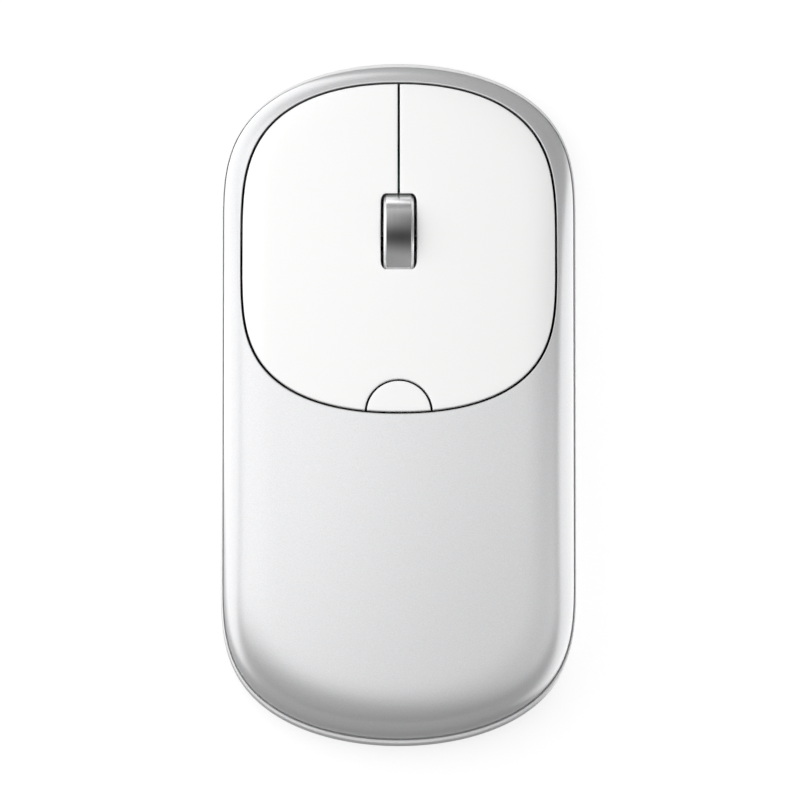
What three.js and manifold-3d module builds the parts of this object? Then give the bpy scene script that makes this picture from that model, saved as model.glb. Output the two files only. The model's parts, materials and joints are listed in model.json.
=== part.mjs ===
// A slim rechargeable wireless mouse as an assembly of separate solids, in millimetres.
// +Z is up, +Y points to the nose and +X to the right hand. The origin is on the desk, under the middle.
import * as THREE from "three";
import { mergeVertices } from "three/addons/utils/BufferGeometryUtils.js";
import Module from "manifold-3d";

const wasm = await Module();
wasm.setup();

// ---- Driving dimensions ----------------------------------------------------------------------
const LENGTH = 112;
const WIDTH = 58;
const FLANK = 28.4; // half length of the straight flanks between the two rounded ends
const END_POWER = [2, 3.25]; // superellipse powers of the rounded ends, across and along

const FOOT_HEIGHT = 0.6; // the glides lift the case this far off the desk
const FLOOR_TOP = 2.1; // inner face of the bottom case
const LIP_TOP = 6.3; // upper lip of the bottom case
const PARTING = 6.6; // lower edge of the top cover
const COVER_INSET = 0.5; // the cover's edge lies inside the widest line of the bottom case
const END_TUCK = 0.35; // and this much further in at the nose and the rear
const COVER_WALL = 1.6;

const CROWN = { top: 21.3, y: -8, along: 205, across: 150 }; // highest point and the two radii of the crown
const EDGE = { reach: 9, power: 3.2 }; // the crown turns down to the parting line over this reach

const GAP = 0.38; // visible gap round the keys and the button
const PANEL = { y: 23.2, half: 25.6, front: 28.7, rear: 26.7, powers: [2.2, 3.67], wall: 1.5 };
const KEY_ROOT = 14; // the keys flex about this line
const KEY_ROOT_GAP = 0.3;

const WHEEL = { radius: 8.7, width: 4.9, y: 25.4, z: 12, slot: 5.85, clearance: 0.35 };
const AXLE_RADIUS = 1.1;
const ENCODER_X = -6.7;
const BUSH_X = 6.2;
const BUTTON_RADIUS = 5.36;

const FRAME_DROP = { rim: 1.9, top: 2.6, bottom: 3.8 }; // depths of the frame's faces under the outer surface
const FRAME_BOTTOM = 8.6; // the frame's skirt ends above the lip of the bottom case
const FRAME_HOLD = 2; // the frame reaches this far under the cover all round the panel
const PEG = { x: 14, y: 8, radius: 1.1, bottom: 15.2 }; // pegs that hold the panel on the frame

const BOARD = { bottom: 5.4, top: 6.4, rear: -8, inset: 5.4 };
const SEATING = 0.05; // clearance between a part and the face it rests on
const SWITCH = { x: 13, y: 31.4, size: [5.8, 12.8, 6.5], stemForward: 2.8, stemHeight: 0.7 };
const TACT = { side: 6, height: 3.5, stemRadius: 1.7 };
const BUTTON_SWITCH_Y = -1;
const SENSOR_Y = 8;
const SLIDER = { x: 14, y: 8, travel: 2 };
const BATTERY = { size: [34, 19, 8], y: -38, bottom: 2.7 };
const RECEIVER = { y: -18, z: 4.1, plug: [11.8, 12, 4.5], grip: [7.4, 13.4, 6.2], join: 2.2, wall: 0.35 };
const BAY = { half: [10.2, 7], top: 7.4, wall: 1.2, ceiling: 1 }; // the receiver's bay in the bottom case
const NOTCH = { x: 12.6, z: -3.1, radius: 4.5, half: 3.5 }; // a fingertip reaches the receiver's grip here
const PORT = { y: 47.4, z: 3.8, size: [8.94, 3.1], wall: 0.3, depth: 7 };
const CASE_SCREW = { x: 21.5, y: -30, bossBottom: 3.5, headSeat: 1.95 };
const BOARD_SCREW = { x: 19.5, y: 3 };
const FRAME_SCREW = { x: 12, y: -9.5 };
const FEET = { front: [16, 39.5], rear: [21.2, -31.5], size: [5.4, 14], thickness: 0.85 };

// ---- Materials -------------------------------------------------------------------------------
function paint(color, roughness, metalness = 0) {
  return new THREE.MeshStandardMaterial({ color, roughness, metalness });
}

const MATERIAL = {
  silver: paint(0xd9dadb, 0.38, 0.55),
  white: paint(0xf4f4f3, 0.45),
  rim: paint(0xe6e7e8, 0.35),
  black: paint(0x17181a, 0.6),
  metal: paint(0xb9bbbe, 0.22, 1),
  steel: paint(0x9fa3a8, 0.35, 1),
  board: paint(0x1c3b2a, 0.55),
  clear: paint(0xdfe6ea, 0.1),
  glide: paint(0xefefec, 0.7),
  cell: paint(0xb8bcc0, 0.4, 0.3),
  ivory: paint(0xe8e4d8, 0.5),
  red: paint(0xb3261e, 0.5),
};

// ---- Geometry helpers ------------------------------------------------------------------------
function solidOf(geometry) {
  const bare = geometry.index ? geometry.toNonIndexed() : geometry.clone();
  bare.deleteAttribute("normal");
  bare.deleteAttribute("uv");
  const merged = mergeVertices(bare, 1e-4);
  const vertProperties = merged.getAttribute("position").array;
  const triVerts = new Uint32Array(merged.index.array);
  return new wasm.Manifold(new wasm.Mesh({ numProp: 3, vertProperties, triVerts }));
}

function geometryOf(solid) {
  const { vertProperties, triVerts } = solid.getMesh();
  const geometry = new THREE.BufferGeometry();
  geometry.setAttribute("position", new THREE.BufferAttribute(vertProperties, 3));
  geometry.setIndex(new THREE.BufferAttribute(triVerts, 1));
  geometry.computeVertexNormals();
  return geometry;
}

function joined(...solids) {
  return solids.reduce((sum, solid) => sum.add(solid));
}

function without(solid, ...tools) {
  return tools.reduce((rest, tool) => rest.subtract(tool), solid);
}

function part(name, shape, material, x = 0, y = 0, z = 0) {
  const geometry = shape.isBufferGeometry ? shape : geometryOf(shape);
  const mesh = new THREE.Mesh(geometry, material);
  mesh.name = name;
  mesh.position.set(x, y, z);
  return mesh;
}

// A box given by its two opposite corners.
function block([x0, y0, z0], [x1, y1, z1]) {
  const geometry = new THREE.BoxGeometry(x1 - x0, y1 - y0, z1 - z0);
  return solidOf(geometry.translate((x0 + x1) / 2, (y0 + y1) / 2, (z0 + z1) / 2));
}

// An upright round post.
function post(radius, z0, z1, x = 0, y = 0, sides = 12) {
  const geometry = new THREE.CylinderGeometry(radius, radius, z1 - z0, sides);
  return solidOf(geometry.rotateX(Math.PI / 2).translate(x, y, (z0 + z1) / 2));
}

// A turned solid about the X axis from [radius, x] pairs.
function turned(pairs, sides = 24) {
  const profile = pairs.map(([radius, x]) => new THREE.Vector2(radius, x));
  return solidOf(new THREE.LatheGeometry(profile, sides).rotateZ(-Math.PI / 2));
}

function prism(shape, z0, z1) {
  const settings = { depth: z1 - z0, bevelEnabled: false, curveSegments: 4 };
  const geometry = new THREE.ExtrudeGeometry(shape, settings);
  return solidOf(geometry.translate(0, 0, z0));
}

// A rectangle with rounded corners, centred on the origin.
function roundedShape(width, depth, radius) {
  const x = width / 2 - radius;
  const y = depth / 2 - radius;
  const shape = new THREE.Shape();
  shape.absarc(x, -y, radius, -Math.PI / 2, 0);
  shape.absarc(x, y, radius, 0, Math.PI / 2);
  shape.absarc(-x, y, radius, Math.PI / 2, Math.PI);
  shape.absarc(-x, -y, radius, Math.PI, Math.PI * 1.5);
  return shape;
}

// ---- Plan outlines ---------------------------------------------------------------------------
const RING = 40; // points in one turn of the plan outline
const FLANK_SHARE = 0.25; // share of a quarter turn that runs along the straight flank

// The mouse seen from above: straight flanks closed by superelliptic ends.
// `inset` shrinks it evenly and `tuck` shortens its ends.
class PlanOutline extends THREE.Curve {
  constructor(inset, tuck = 0) {
    super();
    this.inset = inset;
    this.tuck = tuck;
  }

  getPoint(t, target = new THREE.Vector2()) {
    const turn = (t * 4) % 4;
    const quarter = Math.floor(turn);
    const along = quarter % 2 ? 1 - (turn - quarter) : turn - quarter;
    const half = WIDTH / 2 - this.inset;
    const end = LENGTH / 2 - this.inset - this.tuck - FLANK;
    let x = half;
    let y = (FLANK * along) / FLANK_SHARE;
    if (along > FLANK_SHARE) {
      const angle = ((along - FLANK_SHARE) / (1 - FLANK_SHARE)) * (Math.PI / 2);
      x = half * Math.cos(angle) ** (2 / END_POWER[0]);
      y = FLANK + end * Math.sin(angle) ** (2 / END_POWER[1]);
    }
    return target.set(quarter === 1 || quarter === 2 ? -x : x, quarter > 1 ? -y : y);
  }
}

// The key panel seen from above: a squarish superellipse, a little longer to the front. `grow` widens it.
class PanelOutline extends THREE.Curve {
  constructor(grow) {
    super();
    this.grow = grow;
  }

  getPoint(t, target = new THREE.Vector2()) {
    const angle = t * 2 * Math.PI;
    const [cos, sin] = [Math.cos(angle), Math.sin(angle)];
    const reach = (sin > 0 ? PANEL.front : PANEL.rear) + this.grow;
    const x = (PANEL.half + this.grow) * Math.sign(cos) * Math.abs(cos) ** (2 / PANEL.powers[0]);
    return target.set(x, PANEL.y + reach * Math.sign(sin) * Math.abs(sin) ** (2 / PANEL.powers[1]));
  }
}

const CEILING = 30; // above everything

function outlineShape(curve, points) {
  return new THREE.Shape(curve.getPoints(points).slice(0, -1));
}

function panelPrism(grow, bottom = 0, points = 56) {
  return prism(outlineShape(new PanelOutline(grow), points), bottom, CEILING);
}

// ---- Skins -----------------------------------------------------------------------------------
// A closed skin: a lathe whose round stations are stretched to the plan outline.
// Each station is { inset, tuck, scale, height(x, y) }; a scale of 0 closes the skin on the axis.
function skin(stations) {
  const profile = stations.map((station, index) => new THREE.Vector2(1, index));
  const geometry = new THREE.LatheGeometry(profile, RING);
  const position = geometry.getAttribute("position");
  for (let i = 0; i <= RING; i += 1) {
    stations.forEach(({ inset, tuck = 0, scale = 1, height }, j) => {
      const { x, y } = new PlanOutline(inset, tuck).getPoint(i / RING).multiplyScalar(scale);
      position.setXYZ(i * stations.length + j, x, y, height(x, y));
    });
  }
  return solidOf(geometry);
}

function crown(x, y) {
  return CROWN.top - (y - CROWN.y) ** 2 / (2 * CROWN.along) - x ** 2 / (2 * CROWN.across);
}

// Share of the crown's height reached at a depth inside the edge.
function rise(depth) {
  const left = 1 - Math.min(depth / EDGE.reach, 1);
  return (1 - left ** EDGE.power) ** (1 / EDGE.power);
}

// The domed body of the mouse, `drop` mm under its outer surface, standing on the plane z = bottom.
function dome(drop, bottom = 0) {
  const edge = COVER_INSET + drop;
  const depths = [0.25, 1, 2.4, 4.2, 6.4, EDGE.reach];
  const scales = [0.7, 0.35, 0];
  const tuck = END_TUCK;
  const top = (depth) => (x, y) => PARTING + (crown(x, y) - drop - PARTING) * rise(depth);
  const floor = scales.toReversed().map((scale) => ({ inset: edge, tuck, scale, height: () => bottom }));
  const wall = [{ inset: edge, tuck, height: () => bottom }];
  if (bottom < PARTING) wall.push({ inset: edge, tuck, height: top(0) });
  const shoulder = depths.map((depth) => ({ inset: edge + depth, tuck, height: top(depth) }));
  const middle = scales.map((scale) => ({ inset: edge + EDGE.reach, tuck, scale, height: top(EDGE.reach) }));
  return skin([...floor, ...wall, ...shoulder, ...middle]);
}

const outerDome = dome(0, PARTING);
const panelUnderside = dome(PANEL.wall);

// ---- Case ------------------------------------------------------------------------------------
function screwBoss(x, y, z0) {
  return post(2.6, z0, CEILING, x, y).intersect(dome(COVER_WALL / 2));
}

function topCover() {
  const pilotRadius = 1.05;
  const bosses = [
    { ...CASE_SCREW, bottom: CASE_SCREW.bossBottom, pilot: 7.5 },
    { ...FRAME_SCREW, bottom: crown(FRAME_SCREW.x, FRAME_SCREW.y) - FRAME_DROP.top + 0.3, pilot: 1.4 },
  ];
  let cover = without(outerDome, dome(COVER_WALL), panelPrism(GAP / 2));
  for (const side of [-1, 1]) {
    for (const { x, y, bottom, pilot } of bosses) {
      cover = joined(cover, screwBoss(side * x, y, bottom));
      cover = without(cover, post(pilotRadius, bottom - 1, bottom + pilot, side * x, y, 16));
    }
  }
  return cover;
}

function baseSkin() {
  const at = (inset, z, scale = 1) => ({ inset, scale, height: () => z });
  const [rimTop, pocket] = [7.2, 3.4]; // the rim stands up inside the cover; a pocket lies behind it
  return skin([
    at(3.4, FOOT_HEIGHT, 0),
    at(3.4, FOOT_HEIGHT),
    at(1.7, 1),
    at(0.5, 2.1),
    at(0, 3.6),
    at(0.08, 5),
    at(0.35, LIP_TOP),
    at(2.6, LIP_TOP),
    at(2.6, rimTop),
    at(3.5, rimTop),
    at(3.9, pocket),
    at(4.6, FLOOR_TOP),
    at(4.6, FLOOR_TOP, 0),
  ]);
}

// A box given by its middle in plan, its half sizes and its heights.
function pad(x, y, halfX, halfY, z0, z1) {
  return block([x - halfX, y - halfY, z0], [x + halfX, y + halfY, z1]);
}

// What stands on the floor of the bottom case, on one side of the mouse.
function baseStands(side) {
  const root = FLOOR_TOP - 0.3;
  const boardSeat = BOARD.bottom - SEATING;
  const ribTop = 6;
  const batteryRibX = side * 9;
  const batteryReach = BATTERY.size[1] / 2 + 1;
  const forkY = WHEEL.y + side * 4;
  return [
    post(3.4, root, CASE_SCREW.bossBottom - 0.3, side * CASE_SCREW.x, CASE_SCREW.y),
    post(2.4, root, boardSeat, side * BOARD_SCREW.x, BOARD_SCREW.y),
    pad(side * 12, 44, 1, 1, root, boardSeat),
    pad(batteryRibX, BATTERY.y + batteryReach, 4, 0.5, root, ribTop),
    pad(batteryRibX, BATTERY.y - batteryReach, 4, 0.5, root, ribTop),
    pad(BUSH_X, forkY, 1.4, 0.6, root, WHEEL.z + 2.5),
  ];
}

// What is cut out of the bottom case, on one side of the mouse.
function baseOpenings(side) {
  const [length, width] = [FEET.size[1] + 0.4, FEET.size[0] + 0.4];
  const recess = prism(roundedShape(width, length, FEET.size[0] / 2), 0, FEET.thickness + SEATING);
  return [
    post(2.3, 0, CASE_SCREW.headSeat + SEATING, side * CASE_SCREW.x, CASE_SCREW.y),
    post(1.15, 0, 4, side * CASE_SCREW.x, CASE_SCREW.y),
    post(0.9, 2.6, 6, side * BOARD_SCREW.x, BOARD_SCREW.y, 16),
    ...[FEET.front, FEET.rear].map(([x, y]) => recess.translate([side * x, y, 0])),
  ];
}

function baseShell() {
  const [bayX, bayY] = BAY.half;
  const tower = pad(0, RECEIVER.y, bayX + BAY.wall, bayY + BAY.wall, FLOOR_TOP - 0.3, BAY.top + BAY.ceiling);
  const { radius, half } = NOTCH;
  const notch = turned([[0, -half], [radius, -half], [radius, half], [0, half]]).rotate([0, 0, 90]);
  const portHole = prism(roundedShape(PORT.size[0] + 0.66, PORT.size[1] + 0.4, 1.7), 0, 8).rotate([90, 0, 0]);
  const cuts = [
    pad(0, RECEIVER.y, bayX, bayY, 0, BAY.top),
    prism(roundedShape(6.4, 9.4, 3.1), 0, 4).translate([0, SENSOR_Y, 0]),
    prism(roundedShape(5.4, 14, 1.2), 0, 1.35).translate([SLIDER.x, SLIDER.y, 0]),
    pad(SLIDER.x, SLIDER.y, 1.3, 4.2, 0, 4),
    portHole.translate([0, LENGTH / 2 + 2, PORT.z + SEATING]),
    notch.translate([NOTCH.x, RECEIVER.y, NOTCH.z]),
    ...baseOpenings(-1),
    ...baseOpenings(1),
  ];
  return without(joined(baseSkin(), tower, ...baseStands(-1), ...baseStands(1)), ...cuts);
}

// ---- Keys, button and their frame ------------------------------------------------------------
// The slot for the wheel: a wider wheel with its corners cut off.
function wheelSlot() {
  const half = WHEEL.slot / 2;
  const outer = WHEEL.radius + WHEEL.clearance;
  const profile = [[0, -half], [outer - 1, -half], [outer - 0.3, 0.4 - half], [outer, 1 - half]];
  const mirrored = profile.toReversed().map(([radius, x]) => [radius, -x]);
  return turned([...profile, ...mirrored]).translate([0, WHEEL.y, WHEEL.z]);
}

function buttonDisc(radius) {
  return post(radius, 0, CEILING, 0, PANEL.y - PANEL.rear, 48);
}

function keyPanel() {
  const blank = without(outerDome, panelUnderside).intersect(panelPrism(-GAP / 2));
  return without(blank, wheelSlot(), buttonDisc(BUTTON_RADIUS + GAP / 2));
}

// One key with the rib that presses its switch.
function key(panel, side) {
  const inner = side * (GAP / 2);
  const outer = side * WIDTH;
  const [left, right] = [Math.min(inner, outer), Math.max(inner, outer)];
  const region = block([left, KEY_ROOT + KEY_ROOT_GAP / 2, 0], [right, LENGTH, CEILING]);
  const ribBottom = BOARD.top + SWITCH.size[2] + SWITCH.stemHeight + SEATING;
  const rib = pad(side * SWITCH.x, SWITCH.y + SWITCH.stemForward, 1, 1.3, ribBottom, CEILING);
  return joined(panel.intersect(region), rib.intersect(dome(PANEL.wall / 2)));
}

// The part of the panel behind the keys, with its two pegs.
function panelRoot(panel) {
  const region = block([-WIDTH, -LENGTH, 0], [WIDTH, KEY_ROOT - KEY_ROOT_GAP / 2, CEILING]);
  const inFrame = dome(PANEL.wall / 2);
  const pegs = [-1, 1].map((side) => post(PEG.radius, PEG.bottom, CEILING, side * PEG.x, PEG.y, 16));
  return joined(panel.intersect(region), ...pegs.map((peg) => peg.intersect(inFrame)));
}

function dpiButton() {
  const disc = buttonDisc(BUTTON_RADIUS - GAP / 2).intersect(panelPrism(-GAP / 2));
  const cap = without(outerDome, panelUnderside).intersect(disc);
  const stemBottom = BOARD.top + TACT.height + 0.65;
  const [arm, halfWall] = [1.6, 0.5];
  const cross = joined(
    pad(0, BUTTON_SWITCH_Y, arm, halfWall, stemBottom, CEILING),
    pad(0, BUTTON_SWITCH_Y, halfWall, arm, stemBottom, CEILING),
  );
  return joined(cap, cross.intersect(dome(PANEL.wall / 2)));
}

// The black frame under the panel. It closes the gaps round the keys and carries them.
function innerFrame() {
  const tab = block([-16, FRAME_SCREW.y - 4, 0], [16, 2, CEILING]);
  const outside = panelPrism(FRAME_HOLD, FRAME_BOTTOM, 32);
  const collar = outside.subtract(panelPrism(GAP + 0.02, 0, 32));
  const plate = dome(FRAME_DROP.top).intersect(joined(outside, tab));
  const rim = dome(FRAME_DROP.rim).intersect(collar);
  const window = prism(roundedShape(40, 24, 4), 0, CEILING).translate([0, 29.2, 0]);
  const stemHole = pad(0, BUTTON_SWITCH_Y, 2.2, 2.3, 0, CEILING);
  const holes = [-1, 1].flatMap((side) => [
    post(PEG.radius + 0.25, 0, CEILING, side * PEG.x, PEG.y, 16),
    post(1.15, 0, CEILING, side * FRAME_SCREW.x, FRAME_SCREW.y, 16),
  ]);
  return without(joined(plate, rim), dome(FRAME_DROP.bottom), window, stemHole, ...holes);
}

// ---- Scroll wheel ----------------------------------------------------------------------------
// A ring about the X axis.
function ring(outer, bore, half) {
  return turned([[bore, -half], [outer, -half], [outer, half], [bore, half], [bore, -half]]);
}

// A round bar along the X axis, for cutting seats and bores.
function bar(radius, half) {
  return turned([[0, -half], [radius, -half], [radius, half], [0, half]]);
}

const RIM_WALL = 1.5;

function wheelRim() {
  const { radius } = WHEEL;
  const half = WHEEL.width / 2;
  const chamfer = 0.4;
  const bore = radius - RIM_WALL;
  return turned([
    [bore, -half],
    [radius - chamfer, -half],
    [radius, chamfer - half],
    [radius, half - chamfer],
    [radius - chamfer, half],
    [bore, half],
    [bore, -half],
  ]);
}

// The hub: an axle, a boss, a thin web and a band that carries the rim.
function wheelHub() {
  const axle = { radius: AXLE_RADIUS, left: -9.4, right: 8.2 };
  const [boss, band, outer] = [2.6, 5.6, WHEEL.radius - RIM_WALL - 0.1];
  const [half, web] = [2, 0.9];
  return turned([
    [0, axle.left],
    [axle.radius, axle.left],
    [axle.radius, -half],
    [boss, -half],
    [boss, -web],
    [band, -web],
    [band, -half],
    [outer, -half],
    [outer, half],
    [band, half],
    [band, web],
    [boss, web],
    [boss, half],
    [axle.radius, half],
    [axle.radius, axle.right],
    [0, axle.right],
  ]);
}

function axleBush() {
  return block([-1.3, -3.1, -1.6], [1.3, 3.1, 2]).subtract(bar(AXLE_RADIUS + 0.12, 2));
}

function encoderHousing(rotorRadius) {
  const body = block([-2.4, -4, BOARD.top + SEATING - WHEEL.z], [2.4, 4, 3.6]);
  return body.subtract(bar(rotorRadius + 0.25, 3));
}

function scrollWheel() {
  const rotorRadius = 2.3;
  const group = new THREE.Group();
  group.position.set(0, WHEEL.y, WHEEL.z);
  group.add(
    part("wheel_rim", wheelRim(), MATERIAL.metal),
    part("wheel_hub", wheelHub(), MATERIAL.black),
    part("encoder_rotor", ring(rotorRadius, AXLE_RADIUS + 0.1, 1.9), MATERIAL.ivory, ENCODER_X),
    part("encoder_housing", encoderHousing(rotorRadius), MATERIAL.black, ENCODER_X),
    part("axle_bush", axleBush(), MATERIAL.ivory, BUSH_X),
  );
  return group;
}

// ---- Electronics -----------------------------------------------------------------------------
function mainBoard() {
  const { bottom, top, rear, inset } = BOARD;
  const plan = prism(outlineShape(new PlanOutline(inset), RING), bottom, top);
  const slot = (x, y, halfX, halfY) => pad(x, y, halfX, halfY, 0, top + 1);
  const wheelReach = WHEEL.radius + 1.1;
  const cuts = [
    slot(0, WHEEL.y, 3.2, wheelReach),
    slot(0, SENSOR_Y, 2.6, 3.4),
    slot(BUSH_X, WHEEL.y - 4, 1.7, 0.9),
    slot(BUSH_X, WHEEL.y + 4, 1.7, 0.9),
    ...[-1, 1].map((side) => post(0.95, 0, top + 1, side * BOARD_SCREW.x, BOARD_SCREW.y, 16)),
  ];
  return without(plan.intersect(block([-WIDTH, rear, 0], [WIDTH, LENGTH, top + 1])), ...cuts);
}

// A snap-action switch: a case with a seam and a pocket for its stem, and the stem, which moves.
function microSwitch(side, name) {
  const [width, depth, height] = SWITCH.size;
  const [seamZ, seamHeight, seamDepth] = [height * 0.45, 0.2, 0.3];
  const group = new THREE.Group();
  group.position.set(side * SWITCH.x, SWITCH.y, BOARD.top + SEATING);
  const seam = pad(0, 0, width, depth, seamZ, seamZ + seamHeight);
  const core = pad(0, 0, width / 2 - seamDepth, depth / 2 - seamDepth, 0, height - seamDepth);
  const body = joined(without(pad(0, 0, width / 2, depth / 2, 0, height - SEATING), seam), core);
  const pocket = pad(0, SWITCH.stemForward, 0.8, 1.4, height - 1.2, height + 1);
  const stem = pad(0, 0, 0.6, 1.2, height - 0.6, height + SWITCH.stemHeight - SEATING);
  group.add(
    part(`${name}_switch_case`, body.subtract(pocket), MATERIAL.black),
    part(`${name}_switch_stem`, stem, MATERIAL.white, 0, SWITCH.stemForward),
  );
  return group;
}

// A square push switch with a round stem that reaches up to stemTop.
function tactSwitch(name, x, y, stemTop) {
  const { side, height, stemRadius } = TACT;
  const group = new THREE.Group();
  group.position.set(x, y, BOARD.top + SEATING);
  const pocket = post(stemRadius + 0.15, height - 1, height + 1);
  const body = pad(0, 0, side / 2, side / 2, 0, height).subtract(pocket);
  const stem = post(stemRadius, height - 0.5, stemTop - BOARD.top - SEATING);
  group.add(part(`${name}_switch_case`, body, MATERIAL.steel));
  group.add(part(`${name}_switch_stem`, stem, MATERIAL.black));
  return group;
}

// The lens: a plate on the floor, a nose in the floor's opening and a throat up to the sensor.
function sensorLens() {
  const plate = pad(0, 0, 5, 5.6, FLOOR_TOP + 0.1, 3.4);
  const nose = prism(roundedShape(5.6, 8.4, 2.7), 1.2, 3);
  const throat = pad(0, 0, 2.3, 3, 3.2, BOARD.top);
  const scoop = post(1.6, 0, 1.9);
  return without(joined(plate, nose, throat), scoop);
}

function chargingPort() {
  const [width, height] = PORT.size;
  const inner = [width - 2 * PORT.wall, height - 2 * PORT.wall];
  const shell = prism(roundedShape(width, height, 1.5), 0, PORT.depth);
  const cavity = prism(roundedShape(...inner, 1.5 - PORT.wall), 0.5, PORT.depth + 1);
  return shell.subtract(cavity).rotate([-90, 0, 0]);
}

function powerSwitch() {
  const body = pad(0, 0, 2.6, 5.4, 2.9, BOARD.bottom - SEATING);
  return body.subtract(pad(0, 0, 1.2, 4.3, 0, 4.3));
}

function powerSlider() {
  const knob = prism(roundedShape(4.6, 5.6, 0.8), FOOT_HEIGHT + SEATING, 1.25);
  const grooves = [-1.6, 0, 1.6].map((y) => pad(0, y, 1.8, 0.3, 0, 0.85));
  const stem = pad(0, 0, 0.95, 1.8, 1, 4.1);
  return joined(without(knob, ...grooves), stem);
}

// A battery wire from its plug back to the cell, in a low arch.
function wire(name, x, material) {
  const path = new THREE.CatmullRomCurve3([
    new THREE.Vector3(x, -11.6, 8.4),
    new THREE.Vector3(x - 0.6, -16, 9.6),
    new THREE.Vector3(x + 0.5, -23, 9.2),
    new THREE.Vector3(x + 0.8, -28.1, 8),
  ]);
  const round = new THREE.Shape().absarc(0, 0, 0.55, 0, Math.PI * 2);
  const geometry = new THREE.ExtrudeGeometry(round, { steps: 7, curveSegments: 3, extrudePath: path });
  return part(name, geometry, material);
}

function boardParts() {
  const top = BOARD.top + SEATING;
  const group = new THREE.Group();
  const chip = pad(0, 0.35, 4, 4.65, top, top + 1.8);
  const radio = pad(0, 0, 3, 3, top, top + 0.9);
  const socket = block([-3, -3, top], [3, 1, top + 3.6]);
  const plug = block([-2.5, -4, top + 0.4], [2.5, 0, top + 3.2]);
  group.add(
    part("main_board", mainBoard(), MATERIAL.board),
    part("sensor_chip", chip, MATERIAL.black, 0, SENSOR_Y),
    part("sensor_lens", sensorLens(), MATERIAL.clear, 0, SENSOR_Y),
    part("radio_chip", radio, MATERIAL.black, -12, 12),
    part("battery_socket", socket, MATERIAL.ivory, -15, -4),
    part("battery_plug", plug, MATERIAL.white, -15, -7.3),
    wire("battery_wire_red", -14, MATERIAL.red),
    wire("battery_wire_black", -16, MATERIAL.black),
  );
  return group;
}

function switchesAndPort() {
  const group = new THREE.Group();
  const tongue = block([-3.35, 0, -0.35], [3.35, 5.2, 0.35]);
  group.add(
    microSwitch(-1, "left"),
    microSwitch(1, "right"),
    tactSwitch("wheel", BUSH_X, WHEEL.y, WHEEL.z - 1.65),
    tactSwitch("dpi", 0, BUTTON_SWITCH_Y, BOARD.top + TACT.height + 0.6),
    part("charging_port", chargingPort(), MATERIAL.steel, 0, PORT.y, PORT.z),
    part("charging_port_tongue", tongue, MATERIAL.black, 0, PORT.y + 0.6, PORT.z),
    part("power_switch_case", powerSwitch(), MATERIAL.steel, SLIDER.x, SLIDER.y),
    part("power_slider", powerSlider(), MATERIAL.black, SLIDER.x, SLIDER.y),
  );
  return group;
}

function power() {
  const group = new THREE.Group();
  const [width, depth, height] = BATTERY.size;
  const cell = prism(roundedShape(width, depth, 2), BATTERY.bottom, BATTERY.bottom + height);
  const foam = pad(0, 0, 15, 8, FLOOR_TOP + SEATING, BATTERY.bottom - SEATING);
  group.add(part("battery_cell", cell, MATERIAL.cell), part("battery_pad", foam, MATERIAL.black));
  group.position.y = BATTERY.y;
  return group;
}

// The radio receiver lies across the bay: a plug to the left and its grip to the right.
function receiver() {
  const group = new THREE.Group();
  group.position.set(0, RECEIVER.y, RECEIVER.z);
  const { grip, join, wall } = RECEIVER;
  const [length, width, height] = RECEIVER.plug;
  const [halfWidth, halfHeight] = [width / 2, height / 2];
  const tip = join - length;
  const tube = block([tip, -halfWidth, -halfHeight], [join, halfWidth, halfHeight]);
  const hollow = block(
    [tip - 1, wall - halfWidth, wall - halfHeight],
    [join - 0.6, halfWidth - wall, halfHeight - wall],
  );
  const windows = [-2.6, 2.6].map((y) => pad(-4.3, y, 1.1, 1.1, 0, height));
  const tongue = block([tip + 0.6, -5, -1.6], [join - 0.7, 5, 0.2]);
  const handle = prism(roundedShape(grip[1], grip[2], 0.9), 0, grip[0]).rotate([90, 0, 90]);
  group.add(
    part("receiver_plug", without(tube, hollow, ...windows), MATERIAL.steel),
    part("receiver_tongue", tongue, MATERIAL.black),
    part("receiver_grip", handle, MATERIAL.black, join + 0.1),
  );
  return group;
}

// ---- Fasteners and glides --------------------------------------------------------------------
// A pan-head screw with a cross recess; its head lies under z = 0 and its shank points up.
function screw(headRadius, headHeight, shankRadius, length) {
  const body = joined(post(headRadius, -headHeight, 0, 0, 0, 16), post(shankRadius, -0.1, length, 0, 0, 8));
  const slots = [[headRadius * 0.6, 0.25], [0.25, headRadius * 0.6]];
  return without(body, ...slots.map(([x, y]) => block([-x, -y, -headHeight - 1], [x, y, 0.5 - headHeight])));
}

function screws(side, name) {
  const group = new THREE.Group();
  const caseScrew = part(`case_screw_${name}`, screw(2.1, 0.95, 0.95, 6), MATERIAL.steel);
  caseScrew.position.set(side * CASE_SCREW.x, CASE_SCREW.y, CASE_SCREW.headSeat);
  const boardScrew = part(`board_screw_${name}`, screw(1.8, 0.8, 0.8, 3.4), MATERIAL.steel);
  boardScrew.position.set(side * BOARD_SCREW.x, BOARD_SCREW.y, BOARD.top + SEATING);
  boardScrew.rotation.x = Math.PI;
  const frameScrew = part(`frame_screw_${name}`, screw(1.8, 0.8, 0.9, 2.6), MATERIAL.steel);
  const underFrame = crown(FRAME_SCREW.x, FRAME_SCREW.y) - FRAME_DROP.bottom - 0.35;
  frameScrew.position.set(side * FRAME_SCREW.x, FRAME_SCREW.y, underFrame);
  group.add(caseScrew, boardScrew, frameScrew);
  return group;
}

function glides(side, name) {
  const group = new THREE.Group();
  const [width, length] = FEET.size;
  for (const end of ["front", "rear"]) {
    const [x, y] = FEET[end];
    const glide = prism(roundedShape(width, length, width / 2 - 0.05), 0, FEET.thickness);
    group.add(part(`glide_${end}_${name}`, glide, MATERIAL.glide, side * x, y));
  }
  return group;
}

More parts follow.
